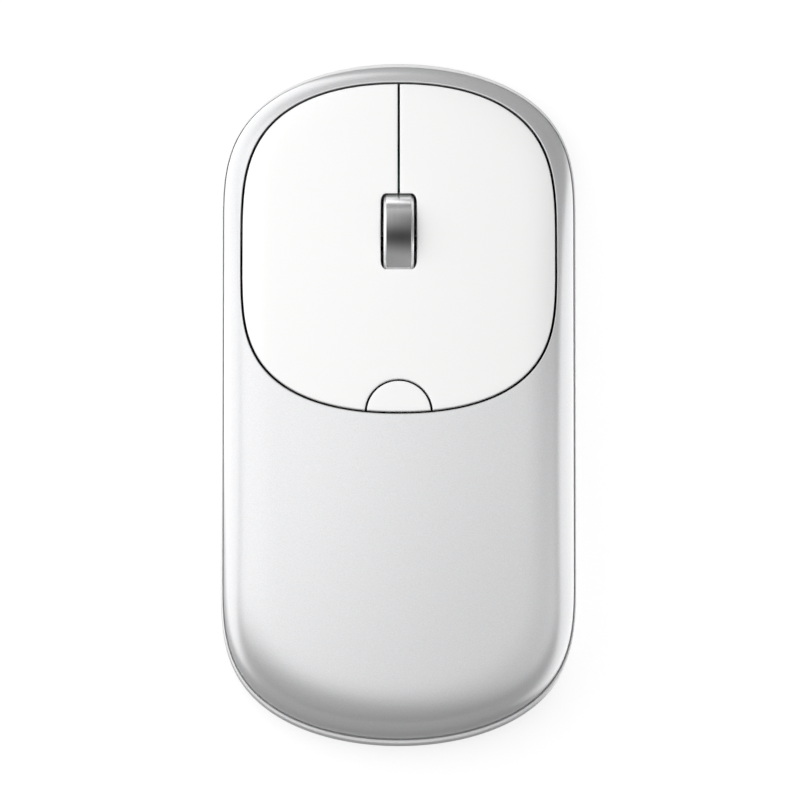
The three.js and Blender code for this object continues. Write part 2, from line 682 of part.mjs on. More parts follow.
// ---- Assembly --------------------------------------------------------------------------------
const mouse = new THREE.Group();
const panel = keyPanel();
mouse.add(
  part("base_shell", baseShell(), MATERIAL.rim),
  part("top_cover", topCover(), MATERIAL.silver),
  part("inner_frame", innerFrame(), MATERIAL.black),
  part("key_panel_root", panelRoot(panel), MATERIAL.white),
  part("left_key", key(panel, -1), MATERIAL.white),
  part("right_key", key(panel, 1), MATERIAL.white),
  part("dpi_button", dpiButton(), MATERIAL.white),
  scrollWheel(),
  boardParts(),
  switchesAndPort(),
  power(),
  receiver(),
);
for (const [side, name] of [[-1, "left"], [1, "right"]]) mouse.add(screws(side, name), glides(side, name));

export default mouse;
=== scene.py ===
"""Looks of a slim wireless mouse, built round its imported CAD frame.

Lengths are in millimetres until a mesh is made, which is in metres. +Z is up,
+Y points to the nose with the two keys and +X to the right hand.
"""
import json
import math
import bmesh
import bpy
import numpy as np
from mathutils import Matrix, Vector
from mathutils.geometry import delaunay_2d_cdt


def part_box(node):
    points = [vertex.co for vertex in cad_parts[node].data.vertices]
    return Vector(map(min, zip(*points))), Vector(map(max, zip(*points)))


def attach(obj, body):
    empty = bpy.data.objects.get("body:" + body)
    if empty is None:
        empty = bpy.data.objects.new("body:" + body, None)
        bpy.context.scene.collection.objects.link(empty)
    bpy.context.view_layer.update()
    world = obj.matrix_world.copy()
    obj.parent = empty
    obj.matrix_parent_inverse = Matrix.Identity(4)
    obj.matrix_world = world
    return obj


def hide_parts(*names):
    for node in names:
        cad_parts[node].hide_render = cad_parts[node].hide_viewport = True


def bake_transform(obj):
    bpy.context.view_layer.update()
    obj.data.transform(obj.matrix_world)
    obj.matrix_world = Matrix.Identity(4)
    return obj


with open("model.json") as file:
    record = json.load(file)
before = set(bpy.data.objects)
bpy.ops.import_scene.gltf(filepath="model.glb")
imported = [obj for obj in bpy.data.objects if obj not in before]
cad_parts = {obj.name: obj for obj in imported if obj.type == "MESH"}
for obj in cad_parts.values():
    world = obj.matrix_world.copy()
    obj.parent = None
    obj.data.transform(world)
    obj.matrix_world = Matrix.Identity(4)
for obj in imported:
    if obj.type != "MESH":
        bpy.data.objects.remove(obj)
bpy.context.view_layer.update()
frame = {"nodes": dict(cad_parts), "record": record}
MM = 0.001
WELD = 0.002  # points closer than this are one point

RECORD = frame["record"]
BODY_OF = {name: body for body, names in RECORD["behaviour"]["bodies"].items() for name in names}
SLOT_OF = {row["node"]: row["material_slot"] for row in RECORD["subparts"]}


class Box:
    """The box of a CAD node, in mm."""

    def __init__(self, node):
        self.low, self.high = (np.array(corner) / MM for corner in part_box(node))
        self.size = self.high - self.low
        self.middle = (self.low + self.high) / 2
        self.at = self.middle[:2]
        self.bottom, self.top = self.low[2], self.high[2]


# ---- Driving dimensions ----

CASE, COVER, WHEEL = Box("base_shell"), Box("top_cover"), Box("wheel_rim")
HALF_WIDTH = CASE.high[0]
HALF_LENGTH = -CASE.low[1]
FLOOR = CASE.bottom  # underside of the case
FLANK = 28.4  # half length of the straight flanks
END = HALF_LENGTH - FLANK  # length of a rounded end
END_POWER = 3.25
COVER_INSET = HALF_WIDTH - COVER.high[0]
END_TUCK = HALF_LENGTH - COVER_INSET - COVER.high[1]  # the cover's ends lie this much further in
COVER_WALL = 1.6
LIP, LIP_TOP = 6.3, 7.2  # the ledge under the cover's edge, and the lip inside it
PARTING = 6.6  # height of the cover's lower edge
RIM_TOP, RIM_ROUND = 6.5, 0.2  # the rim of the case round the cover
GROOVE, GROOVE_FLOOR = 0.2, 5.2  # width and floor of the groove between them
CROWN_TOP, CROWN_Y, CROWN_ALONG, CROWN_ACROSS = 21.3, -8.0, 205.0, 150.0
EDGE_REACH, EDGE_POWER = 9.0, 3.2

GAP = 0.38
PANEL_Y, PANEL_HALF, PANEL_FRONT, PANEL_REAR = 23.2, 25.6, 28.7, 26.7
PANEL_POWERS = (2.2, 3.67)
RAY_LENGTH = 90.0  # more than the distance from the panel's centre to the far end of the case
PANEL_WALL = 1.5
UNDER_EDGE = 0.15  # chamfer of the panel's lower edges
PEG = (14.0, 8.0)  # place of the pegs that hold the panel on its frame
STEM_GAP = 0.05  # between a switch's stem and the rib that presses it
BUTTON_RADIUS = 5.36
BUTTON_Y = PANEL_Y - PANEL_REAR

WHEEL_MIDDLE = WHEEL.middle
WHEEL_RADIUS = WHEEL.top - WHEEL_MIDDLE[2]
WHEEL_HALF = WHEEL.high[0]
SLOT_HALF = 2.93
SLOT_CLEARANCE = {"front": 0.48, "rear": 0.3}  # a pressed key dips towards the wheel in front
SLOT_CORNER = (0.85, 1.45)
SLOT_FADE = 6.0  # the points of the split line and the seam follow the slot's leaning end over this length

CAMERA_AIM = (0.0002, 0.0013, 0.0)
CAMERA_TILT = math.radians(7.5)
CAMERA_DISTANCE = 2.2  # the camera's lengths are in metres
FRAME_WIDTH = 0.1309  # width of the picture at the object

OPENING_LEAN = (0.5, 0.2)  # how far the dark opening overhead leans to the right and to the nose
OPENING = (math.radians(14), math.radians(60))  # it is full to one angle, and gone at the other
OPENING_LEVEL = 0.6
LEFT_WALL, RIGHT_WALL = 1.05, 0.58
WALL_EDGES = (-0.75, 0.75)
FRONT_WALL, REAR_WALL = 1.7, 0.76
ROOM_LEVEL = 1.85
ROOM_BRIGHTEST = 1.65
END_AXIS = math.radians(70)  # from +X: the walls are dim along this line, to both ends of the room
END_EDGES = (0.2, 0.85)
END_LEVEL = 0.2
HORIZON_LEVEL = 0.3  # the walls dim to this share at the horizon
HORIZON_HEIGHT = 0.42
# A bright card lies on the sheet towards each of these sides. Its front end fades between these places in Y.
CARDS = (((1.0, -0.03), (0.036, 0.048)), ((-0.97, 0.2), (1.0, 2.0)))
CARD_REAR = (-0.07, -0.043)  # where the rear ends of both cards fade, in metres like all of their lengths
CARD_EDGES = (0.025, 0.031)
CARD_GLOW = 1.2
FLOOR_REACH, FLOOR_SINK = 12000.0, 0.02  # half the sheet's width, and how far it lies under the glides
FLOOR_GLOW = 0.72  # seen by the camera only

# ---- Surfaces ----


def inside_plan(x, y, inset):
    """Whether points lie inside the cover's outline, `inset` within the widest line of the case."""
    across = np.abs(x) / (HALF_WIDTH - inset)
    along = np.maximum(np.abs(y) - FLANK, 0) / (END - END_TUCK - inset)
    return across**2 + along**END_POWER < 1


def last_inside(inside, low, high, steps):
    """The highest values for which `inside` holds, found by halving the interval from low to high."""
    for _ in range(steps):
        middle = (low + high) / 2
        hit = inside(middle)
        low = np.where(hit, middle, low)
        high = np.where(hit, high, middle)
    return low


def plan_depth(x, y):
    """The inset of the cover's outline that runs through each point."""
    low = np.full(np.shape(x), -2.0)
    high = np.full(np.shape(x), END - END_TUCK - 0.01)
    return last_inside(lambda inset: inside_plan(x, y, inset), low, high, 34)


def crown(x, y):
    return CROWN_TOP - (y - CROWN_Y) ** 2 / (2 * CROWN_ALONG) - x**2 / (2 * CROWN_ACROSS)


def dome(x, y, drop=0.0):
    """Height of the domed surface, `drop` under the outer one."""
    x, y = np.asarray(x, float), np.asarray(y, float)
    depth = np.clip((plan_depth(x, y) - COVER_INSET - drop) / EDGE_REACH, 0, 1)
    rise = (1 - (1 - depth) ** EDGE_POWER) ** (1 / EDGE_POWER)
    return PARTING + (crown(x, y) - drop - PARTING) * rise


def inside_panel(x, y, grow):
    y = y - PANEL_Y
    reach = np.where(y > 0, PANEL_FRONT, PANEL_REAR) + grow
    return (np.abs(x) / (PANEL_HALF + grow)) ** PANEL_POWERS[0] + (np.abs(y) / reach) ** PANEL_POWERS[1] < 1


def panel_point(angle, grow):
    c, s = math.cos(angle), math.sin(angle)
    reach = (PANEL_FRONT if s > 0 else PANEL_REAR) + grow
    x = (PANEL_HALF + grow) * math.copysign(abs(c) ** (2 / PANEL_POWERS[0]), c)
    return x, PANEL_Y + reach * math.copysign(abs(s) ** (2 / PANEL_POWERS[1]), s)


def plan_outline(inset, count, tuck=0.0):
    """The plan outline, evenly spread over its straight flanks and its ends, which lie `tuck` further in."""
    points = []
    per_end, per_flank = count * 3 // 8, count // 8
    half, end = HALF_WIDTH - inset, END - inset - tuck
    for side in (1, -1):
        for k in range(per_flank):
            points.append((side * half, side * FLANK * (2 * k / per_flank - 1)))
        for k in range(per_end):
            angle = math.pi * k / per_end
            along = end * math.sin(angle) ** (2 / END_POWER)
            points.append((side * half * math.cos(angle), side * (FLANK + along)))
    return np.array(points)


def rounded_rect(width, depth, radius, grow=0.0, centre=(0, 0), steps=8):
    """A rectangle with rounded corners, `grow` wider all round."""
    radius = radius + grow
    x, y = width / 2 + grow - radius, depth / 2 + grow - radius
    points = []
    for quarter, (sx, sy) in enumerate([(1, 1), (-1, 1), (-1, -1), (1, -1)]):
        for k in range(steps + 1):
            angle = math.pi / 2 * (quarter + k / steps)
            points.append((sx * x + radius * math.cos(angle), sy * y + radius * math.sin(angle)))
    return np.array(points) + np.array(centre)


# ---- Mesh making ----


def lift(points, z):
    points = np.asarray(points, float)
    return np.column_stack([points[:, 0], points[:, 1], np.broadcast_to(z, len(points))])


def loft(rings, caps=(True, True), closed=False):
    """A skin through rings of equally many points. Returns (points, faces)."""
    count = len(rings[0])
    faces = []
    pairs = len(rings) if closed else len(rings) - 1
    for j in range(pairs):
        a, b = j * count, (j + 1) % len(rings) * count
        for i in range(count):
            k = (i + 1) % count
            faces.append((a + i, a + k, b + k, b + i))
    if caps[0] and not closed:
        faces.append(tuple(reversed(range(count))))
    if caps[1] and not closed:
        last = (len(rings) - 1) * count
        faces.append(tuple(range(last, last + count)))
    return np.vstack(rings), faces


def combined(*shapes):
    points, faces, start = [], [], 0
    for shape_points, shape_faces in shapes:
        points.append(shape_points)
        faces += [tuple(start + i for i in face) for face in shape_faces]
        start += len(shape_points)
    return np.vstack(points), faces


def quarter(steps, start=0):
    """One minus the sine and one minus the cosine of angles over a quarter turn."""
    angles = [math.pi / 2 * k / steps for k in range(start, steps + 1)]
    return [(1 - math.sin(angle), 1 - math.cos(angle)) for angle in angles]


def slab(outline, low, high, radius, steps=4, base_radius=None):
    """A flat piece, rounded at its top and bottom edges. outline(grow) gives its outline."""
    base_radius = radius if base_radius is None else base_radius
    rings = [lift(outline(-base_radius * s), low + base_radius * c) for s, c in quarter(steps)]
    rings += [lift(outline(-radius * c), high - radius * s) for s, c in quarter(steps)]
    return loft(rings)


def turned(profile, segments=96, axis="X"):
    """A turned shape from a closed profile of (radius, place along the axis). Points on the axis close it."""
    rings = []
    for radius, along in profile:
        angles = np.linspace(0, 2 * math.pi, segments, endpoint=False)
        c, s = radius * np.cos(angles), radius * np.sin(angles)
        a = np.full(segments, along)
        rings.append(np.column_stack([a, c, s] if axis == "X" else [c, s, a]))
    return loft(rings, closed=True)


def moved(shape, offset=(0, 0, 0), turn=None):
    points, faces = shape
    if turn is not None:
        points = points @ np.array(turn.to_3x3()).T
    return points + np.array(offset, float), faces


def round_corner(points, radius, steps=3, sharper_than=30):
    """Rounds the corners off the axis that turn a closed profile by more than `sharper_than` degrees."""
    rounded = []
    count = len(points)
    for i in range(count):
        before, here, after = (np.array(points[(i + k) % count], float) for k in (-1, 0, 1))
        u, v = before - here, after - here
        lu, lv = np.linalg.norm(u), np.linalg.norm(v)
        u, v = u / lu, v / lv
        angle = math.acos(max(-1, min(1, u @ v)))
        if math.degrees(math.pi - angle) < sharper_than or here[0] == 0:
            rounded.append(here)
            continue
        reach = min(radius / math.tan(angle / 2), lu * 0.45, lv * 0.45)
        a, b = here + u * reach, here + v * reach
        for k in range(steps + 1):
            t = k / steps
            rounded.append((1 - t) ** 2 * a + 2 * t * (1 - t) * here + t * t * b)
    return rounded


def clean(mesh):
    """Merges points that coincide, and removes collapsed faces and loose edges."""
    work = bmesh.new()
    work.from_mesh(mesh)
    bmesh.ops.remove_doubles(work, verts=work.verts, dist=WELD * MM)
    bmesh.ops.dissolve_degenerate(work, edges=work.edges, dist=WELD * MM)
    loose = [edge for edge in work.edges if not edge.link_faces]
    bmesh.ops.delete(work, geom=loose, context="EDGES")
    bmesh.ops.recalc_face_normals(work, faces=work.faces)
    work.to_mesh(mesh)
    work.free()


def smooth(mesh, sharp):
    """Smooth shading, broken at edges over `sharp` degrees."""
    mesh.shade_smooth()
    mesh.set_sharp_from_angle(angle=math.radians(sharp))


def mesh_of(name, shape, sharp=38):
    points, faces = shape
    mesh = bpy.data.meshes.new(name)
    mesh.from_pydata((np.asarray(points) * MM).tolist(), [], faces)
    clean(mesh)
    smooth(mesh, sharp)
    obj = bpy.data.objects.new(name, mesh)
    bpy.context.scene.collection.objects.link(obj)
    return obj


def dress(obj, body, slot, stands_for, material=None):
    """Gives an object the finish of its material slot, or of `material`, parents it to the body it rides on,
    and hides the CAD nodes it stands for.
    """
    obj.data.materials.clear()
    obj.data.materials.append(MATERIALS[material or slot])
    if body:
        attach(obj, body)
    if stands_for:
        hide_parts(*stands_for)


def piece(name, shape, body, slot, stands_for=(), sharp=38, material=None):
    """A piece made of one shape, which rides on a body and takes the finish of a material slot."""
    obj = mesh_of(name, shape, sharp)
    dress(obj, body, slot, stands_for, material)
    return obj


def inside_loop(points, loop):
    """Which of the points lie inside a closed loop."""
    x, y = points[:, 0:1], points[:, 1:2]
    x0, y0 = loop[:, 0], loop[:, 1]
    x1, y1 = np.roll(x0, -1), np.roll(y0, -1)
    crosses = (y0 > y) != (y1 > y)
    slope = (x1 - x0) / np.where(y1 == y0, 1e-12, y1 - y0)
    return (crosses & (x < x0 + (y - y0) * slope)).sum(1) % 2 == 1


def filled(loop, spacing):
    """Triangles across a loop and a grid inside it. Returns (points, triangles), the loop's points first."""
    low, high = loop.min(0), loop.max(0)
    xs = np.arange(math.ceil(low[0] / spacing), math.floor(high[0] / spacing) + 1) * spacing
    ys = np.arange(math.ceil(low[1] / spacing), math.floor(high[1] / spacing) + 1) * spacing
    grid = np.array([(x, y) for x in xs for y in ys])
    grid = grid[inside_loop(grid, loop)]
    gaps = np.linalg.norm(grid[:, None, :] - loop[None, :, :], axis=2).min(1)
    grid = grid[gaps > spacing * 0.5]
    points = np.vstack([loop, grid])
    edges = [(i, (i + 1) % len(loop)) for i in range(len(loop))]
    found, _, faces, sources, _, _ = delaunay_2d_cdt([Vector(p) for p in points], edges, [], 1, 1e-6)
    index = [source[0] for source in sources]
    assert len(found) == len(points)
    return points, [tuple(index[i] for i in face) for face in faces]


def inward(loop):
    """Unit normals that point into an anticlockwise loop, lengthened at its corners."""
    ahead = np.roll(loop, -1, axis=0) - loop
    ahead /= np.linalg.norm(ahead, axis=1)[:, None]
    behind = np.roll(ahead, 1, axis=0)
    left = np.column_stack([-(ahead + behind)[:, 1], (ahead + behind)[:, 0]])
    left /= np.linalg.norm(left, axis=1)[:, None]
    lean = np.abs(np.sum(left * np.column_stack([-ahead[:, 1], ahead[:, 0]]), axis=1))
    return left / np.maximum(lean, 0.6)[:, None]


def on_dome(points, drop=0.0, rise=0.0):
    """Points at the height of the surface `drop` under the dome's outer one, and `rise` above that."""
    return lift(points, dome(points[:, 0], points[:, 1], drop) + rise)


def moulded_plate(loop, normals, radius, wall, slot_walls=False, spacing=1.0, steps=4):
    """A thin shell of the dome inside `loop`, with its upper edges rounded by `radius`."""
    rings = [on_dome(loop + normals * UNDER_EDGE, wall), on_dome(loop, wall, UNDER_EDGE)]
    rings += [on_dome(loop + normals * radius * c, rise=-radius * s) for s, c in quarter(steps)]
    if slot_walls:
        for ring in rings[:3]:
            follow_wheel(ring, rings[2])
    sides = loft(rings, caps=(False, False))
    count = len(loop)
    top, top_faces = filled(rings[-1][:, :2], spacing)
    last = (len(rings) - 1) * count
    points = [sides[0], on_dome(top[count:])]
    start = len(sides[0])
    faces = sides[1] + [tuple(last + i if i < count else start + i - count for i in f) for f in top_faces]
    bottom, bottom_faces = filled(rings[0][:, :2], spacing * 2)
    start += len(top) - count
    points.append(on_dome(bottom[count:], wall))
    faces += [tuple(reversed([i if i < count else start + i - count for i in f])) for f in bottom_faces]
    return np.vstack(points), faces


def follow_wheel(ring, top):
    """Leans the slot's end walls so that they stay coaxial with the wheel below the surface."""
    y, z = WHEEL_MIDDLE[1], WHEEL_MIDDLE[2]
    ends = [slot_y(1.0, front) for front in (False, True)]
    for i, (x, at, height) in enumerate(top):
        along = at - y
        beyond = abs(along) - abs(ends[int(along > 0)] - y)
        share = min(1, (SLOT_HALF - abs(x)) / (SLOT_HALF - WHEEL_HALF - 0.1), 1 - beyond / SLOT_FADE)
        if share <= 0 or abs(along) < 3:
            continue
        reach = math.sqrt(max(along**2 + (height - z) ** 2 - (ring[i][2] - z) ** 2, 0))
        ring[i][1] += share * (y + math.copysign(reach, along) - at)


# ---- Outlines of the key panel ----


def spread(points, spacing):
    """Points along a polyline about `spacing` apart, keeping its corners and leaving out its last point."""
    out = []
    for a, b in zip(points[:-1], points[1:]):
        a, b = np.array(a, float), np.array(b, float)
        count = max(1, round(np.linalg.norm(b - a) / spacing))
        out += [tuple(a + (b - a) * k / count) for k in range(count)]
    return out


def slot_y(x, front):
    """Where the slot's end meets the surface: the wheel's circle with its clearance, cut by the dome."""
    reach = WHEEL_RADIUS + SLOT_CLEARANCE["front" if front else "rear"]
    side = 1 if front else -1
    y = WHEEL_MIDDLE[1] + side * 6
    for _ in range(30):
        height = float(dome(x, y)) - WHEEL_MIDDLE[2]
        y = WHEEL_MIDDLE[1] + side * math.sqrt(reach**2 - height**2)
    return y


def key_loop():
    """Outline of the right key with its half of the fixed part, anticlockwise, and its inward normals."""
    grow = -GAP / 2
    hole = BUTTON_RADIUS + GAP / 2
    angles = np.radians(np.arange(0, 360, 0.05))
    outline = [panel_point(angle, grow) for angle in angles]
    rear = [p for p in outline if p[1] < BUTTON_Y + 2 and p[0] > 0]
    corner = min(rear, key=lambda p: abs(math.hypot(p[0], p[1] - BUTTON_Y) - hole))
    corner_angle = math.atan2(corner[1] - BUTTON_Y, corner[0])
    steps = 16
    arc = [math.pi / 2 + (corner_angle - math.pi / 2) * k / steps for k in range(steps)]
    loop = [(hole * math.cos(a), BUTTON_Y + hole * math.sin(a)) for a in arc]
    start = outline.index(corner)
    turn = outline[start:] + outline[:start]
    split_x = GAP / 2
    edge = []
    for point in turn:
        if point[1] > PANEL_Y and point[0] < split_x:
            break
        edge.append(point)
    edge = thinned(edge, 0.4)
    front = (split_x, edge[-1][1])
    edge[-1] = front
    loop += edge
    slot_front, slot_rear = slot_y(1.0, True), slot_y(1.0, False)
    loop += spread([front, (split_x, slot_front)], 0.6)[1:]
    cx, cy = SLOT_CORNER
    corners = [math.pi / 2 * k / 6 for k in range(7)]
    loop += spread([(split_x, slot_front), (SLOT_HALF - cx, slot_front)], 0.35)
    loop += [(SLOT_HALF - cx + cx * math.sin(a), slot_front - cy + cy * math.cos(a)) for a in corners]
    loop += spread([(SLOT_HALF, slot_front - cy), (SLOT_HALF, slot_rear + cy)], 0.5)[1:]
    loop += [(SLOT_HALF - cx + cx * math.cos(a), slot_rear + cy - cy * math.sin(a)) for a in corners]
    loop += spread([(SLOT_HALF - cx, slot_rear), (0, slot_rear)], 0.35)[1:]
    seam_start = len(loop)
    loop += spread([(0, slot_rear), (0, BUTTON_Y + hole)], 0.6)
    loop = np.array(loop)
    normals = inward(loop)
    normals[seam_start + 1 :] = 0
    normals[seam_start] = (0, -1)
    normals[0] = (0, 1)
    return loop, normals


def thinned(points, spacing):
    """Every point that is at least `spacing` from the last one kept, and the last point."""
    kept = [points[0]]
    for point in points[1:-1]:
        if math.dist(point, kept[-1]) >= spacing:
            kept.append(point)
    if len(kept) > 1 and math.dist(kept[-1], points[-1]) < spacing / 2:
        kept.pop()
    return kept + [points[-1]]


def button_loop():
    grow, disc = -GAP / 2, BUTTON_RADIUS - GAP / 2
    rear = [panel_point(math.radians(a), grow) for a in np.arange(240, 300, 0.05)]
    rear = [p for p in rear if math.hypot(p[0], p[1] - BUTTON_Y) < disc]
    ends = [math.atan2(p[1] - BUTTON_Y, p[0]) for p in (rear[-1], rear[0])]
    ends[1] = ends[1] % (2 * math.pi)
    arc = [ends[0] + (ends[1] - ends[0]) * k / 40 for k in range(1, 40)]
    loop = thinned(rear, 0.35) + [(disc * math.cos(a), BUTTON_Y + disc * math.sin(a)) for a in arc]
    return np.array(loop)


# ---- Shapes ----


def ray_reach(inside, angles):
    """How far each ray from the panel's centre stays inside an outline."""
    low, high = np.zeros(len(angles)), np.full(len(angles), RAY_LENGTH)
    return last_inside(lambda r: inside(r * np.cos(angles), PANEL_Y + r * np.sin(angles)), low, high, 40)


def cover_shape():
    """The silver cover: its dome outside the panel's opening, with a rounded rim and its inner skin."""
    angles = np.linspace(0, 2 * math.pi, 420, endpoint=False)
    cos, sin = np.cos(angles), np.sin(angles)

    def reach(inset):
        return ray_reach(lambda x, y: inside_plan(x, y, inset), angles)

    opening = ray_reach(lambda x, y: inside_panel(x, y, GAP / 2), angles)
    rings = []

    def add(r, z):
        rings.append(np.column_stack([r * cos, PANEL_Y + r * sin, np.broadcast_to(z, len(r))]))

    def add_skin(r, drop=0.0, below=0.0):
        add(r, dome(r * cos, PANEL_Y + r * sin, drop) - below)

    lip = reach(COVER_INSET + COVER_WALL)
    add(lip, PARTING)
    add(reach(COVER_INSET + 0.22), PARTING)
    add(reach(COVER_INSET + 0.07), PARTING + 0.05)
    add(reach(COVER_INSET), PARTING + 0.2)
    for depth in (0.006, 0.02, 0.05, 0.1, 0.18, 0.3, 0.46, 0.66, 0.9, 1.2, 1.55, 1.95):
        add_skin(reach(COVER_INSET + depth))
    radius = 0.2
    outer, inner = reach(COVER_INSET + 1.95), opening + radius
    steps = 40
    for k in range(1, steps + 1):
        add_skin(outer + (inner - outer) * k / steps)
    for s, c in quarter(4, 1):
        add_skin(opening + radius * s, below=radius * c)
    add_skin(opening, drop=COVER_WALL)
    steps = 22
    for k in range(1, steps):
        share = 1 - (1 - k / steps) ** 3
        add_skin(opening + (lip - opening) * share, drop=COVER_WALL)
    return loft(rings, closed=True)


def base_shape():
    """The bottom case without its openings: a tray whose rim stands round the cover, past a fine groove."""
    rings = []

    def add(inset, z, tuck=0.0):
        rings.append(lift(plan_outline(inset, 320, tuck), z))

    flat, widest, lean = 3.4, 3.6, 0.08
    for s, c in quarter(12):
        add(flat * s, FLOOR + (widest - FLOOR) * c)
    for k in range(1, 6):
        add(lean * (k / 5) ** 2, widest + (RIM_TOP - RIM_ROUND - widest) * k / 5)
    for s, c in quarter(4, 1):
        add(lean + RIM_ROUND * c, RIM_TOP - RIM_ROUND * s)
    groove = COVER_INSET - GROOVE
    wall, fillet, tray = 3.9, 0.9, 2.1
    inside = [(groove - 0.04, RIM_TOP), (groove, RIM_TOP - 0.05), (groove, GROOVE_FLOOR), (1.2, GROOVE_FLOOR)]
    inside += [(1.3, LIP), (2.55, LIP), (2.6, LIP + 0.05), (2.6, LIP_TOP - 0.1), (2.7, LIP_TOP)]
    inside += [(3.4, LIP_TOP), (3.5, LIP_TOP - 0.1), (wall, 3.4)]
    inside += [(wall + fillet * c, tray + fillet * s) for s, c in quarter(4, 1)]
    for inset, z in inside:
        add(inset, z, END_TUCK)
    return loft(rings)


def cutter(size, corner, centre, end, flare=0.22):
    """A prism that cuts an opening into the case from below, its mouth slightly flared."""
    levels = [(flare, FLOOR - 1), (flare, FLOOR), (flare * 0.35, FLOOR + flare * 0.35)]
    levels += [(0, FLOOR + flare), (0, end)]
    return loft([lift(rounded_rect(*size, corner, grow, centre), z) for grow, z in levels])


def boolean(target, shape, operation="DIFFERENCE"):
    tool = mesh_of("tool", shape)
    modifier = target.modifiers.new("cut", "BOOLEAN")
    modifier.operation = operation
    modifier.solver = "EXACT"
    modifier.object = tool
    graph = bpy.context.evaluated_depsgraph_get()
    result = bpy.data.meshes.new_from_object(target.evaluated_get(graph))
    target.modifiers.clear()
    clean(result)
    old = target.data
    target.data = result
    bpy.data.meshes.remove(old)
    bpy.data.objects.remove(tool)


def base_stands():
    """Posts and ribs on the floor of the case, for its screws, the board, the battery and the axle bush."""
    root = 1.8
    board = Box("main_board").bottom - 0.05
    battery, bush = Box("battery_cell").middle, Box("axle_bush").middle
    stands = []
    for side, name in ((-1, "left"), (1, "right")):
        for screw, radius, top in (("case", 3.4, 3.2), ("board", 2.4, board)):
            stands.append(rod(radius, root, top, 0.15, Box(f"{screw}_screw_{name}").at))
        stands.append(brick((side * 12, 44), (2, 2), root, board, 0.3, 0.12))
        for end in (-1, 1):
            stands.append(brick((side * 9, battery[1] + end * 10.5), (8, 1), root, 6, 0.3, 0.2))
        stands.append(brick((bush[0], bush[1] + side * 4), (2.8, 1.2), root, bush[2] + 2.3, 0.3, 0.3))
    return stands


def base_openings():
    """The openings in the case's floor, from the receiver's bay to the screw holes, and the port's."""
    bay = Box("receiver_grip").at * (0, 1)
    slider = Box("power_slider").at
    openings = [
        cutter((20.4, 14.0), 0.8, bay, 7.3),
        cutter((6.4, 9.4), 3.1, Box("sensor_lens").at, 4.0),
        cutter((5.4, 14.0), 1.2, slider, 1.35),
        loft([lift(rounded_rect(2.6, 8.4, 0.4, 0, slider), z) for z in (0, 4)]),
    ]
    for glide in map(Box, GLIDES):
        corner = glide.size[0] / 2 + 0.15
        openings.append(cutter(glide.size[:2] + 0.4, corner, glide.at, glide.top + 0.05, 0.12))
    for side in ("left", "right"):
        screw = Box(f"case_screw_{side}")
        openings.append(rod(2.3, 0, screw.bottom + 1, 0, screw.at))
        openings.append(rod(1.15, 0, 4, 0, screw.at))
        openings.append(rod(0.9, 2.6, 6, 0, Box(f"board_screw_{side}").at))
    notch = turned([(0, -3.5), (4.1, -3.5), (4.5, -3.1), (4.5, 3.1), (4.1, 3.5), (0, 3.5)], 64)
    openings.append(moved(notch, (12.6, bay[1], -3.1), Matrix.Rotation(math.pi / 2, 4, "Z")))
    port = Box("charging_port").middle
    flares = ((0, -8), (0, -0.25), (0.35, 0.1), (0.4, 3))
    hole = loft([lift(rounded_rect(9.6, 3.5, 1.7, grow, (0, 0), 10), z) for grow, z in flares])
    mouth = (port[0], HALF_LENGTH - 0.35, port[2])
    openings.append(moved(hole, mouth, Matrix.Rotation(-math.pi / 2, 4, "X")))
    return openings


def base_piece():
    tower = lambda grow: rounded_rect(22.8, 16.4, 1.0, grow, Box("receiver_grip").at * (0, 1))
    stands = [slab(tower, 1.6, 8.4, 0.3, 2), *base_stands()]
    carved("base_case", "base_shell", [base_shape(), *stands], base_openings(), 26)


def under_panel(at):
    """Where the top of a post or rib lies that grows down from the panel, inside the panel's wall."""
    return float(dome(*at)) - PANEL_WALL + 0.2


def key_pieces():
    loop, normals = key_loop()
    stem = Box("right_switch_stem")
    rib = brick(stem.at, (2, 2.6), stem.top + STEM_GAP, under_panel(stem.at), 0.3, 0.05, 0.25)
    peg = rod(1.1, Box("key_panel_root").bottom + 1.45, under_panel(PEG), 0.2, PEG)
    shape = combined(moulded_plate(loop, normals, 0.2, PANEL_WALL, slot_walls=True), rib, peg)
    mirrored = shape[0] * np.array([-1, 1, 1]), [tuple(reversed(face)) for face in shape[1]]
    mouldings = (("right", shape, ("right_key", "key_panel_root")), ("left", mirrored, ("left_key",)))
    for side, half, nodes in mouldings:
        obj = piece(f"key_panel_{side}", half, None, "white_panel", nodes)
        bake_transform(obj)


def button_piece():
    loop = button_loop()
    stem = Box("dpi_switch_stem")
    low, high = stem.top + STEM_GAP, under_panel(stem.at)
    bars = [brick(stem.at, size, low, high, 0.3, 0.05, 0.2) for size in ((3.2, 1), (1, 3.2))]
    shape = combined(moulded_plate(loop, inward(loop), 0.2, PANEL_WALL, spacing=0.8), *bars)
    piece("pointer_speed_button", shape, "dpi_button", "white_panel", ("dpi_button",))


def wheel_piece():
    chamfer = 0.42
    bore = WHEEL_RADIUS - 1.5
    half, radius = WHEEL_HALF, WHEEL_RADIUS
    profile = [(bore, -half), (radius - chamfer, -half), (radius, chamfer - half), (radius, half - chamfer)]
    profile += [(radius - chamfer, half), (bore, half)]
    shape = moved(turned(round_corner(profile, 0.07, 3), 180), WHEEL_MIDDLE)
    piece("scroll_wheel_rim", shape, "scroll_wheel", "wheel_metal", ("wheel_rim",), sharp=50)


# ---- Small parts ----

GLIDES = ("glide_front_left", "glide_front_right", "glide_rear_left", "glide_rear_right")


def along_x(shape):
    """Turns an upright slab so that it lies along X, its outline in the plane of Y and Z."""
    return shape[0][:, [2, 0, 1]], shape[1]


def along_y(shape):
    """Turns an upright slab so that it lies along Y, its outline in the plane of X and Z."""
    return shape[0][:, [0, 2, 1]], shape[1]


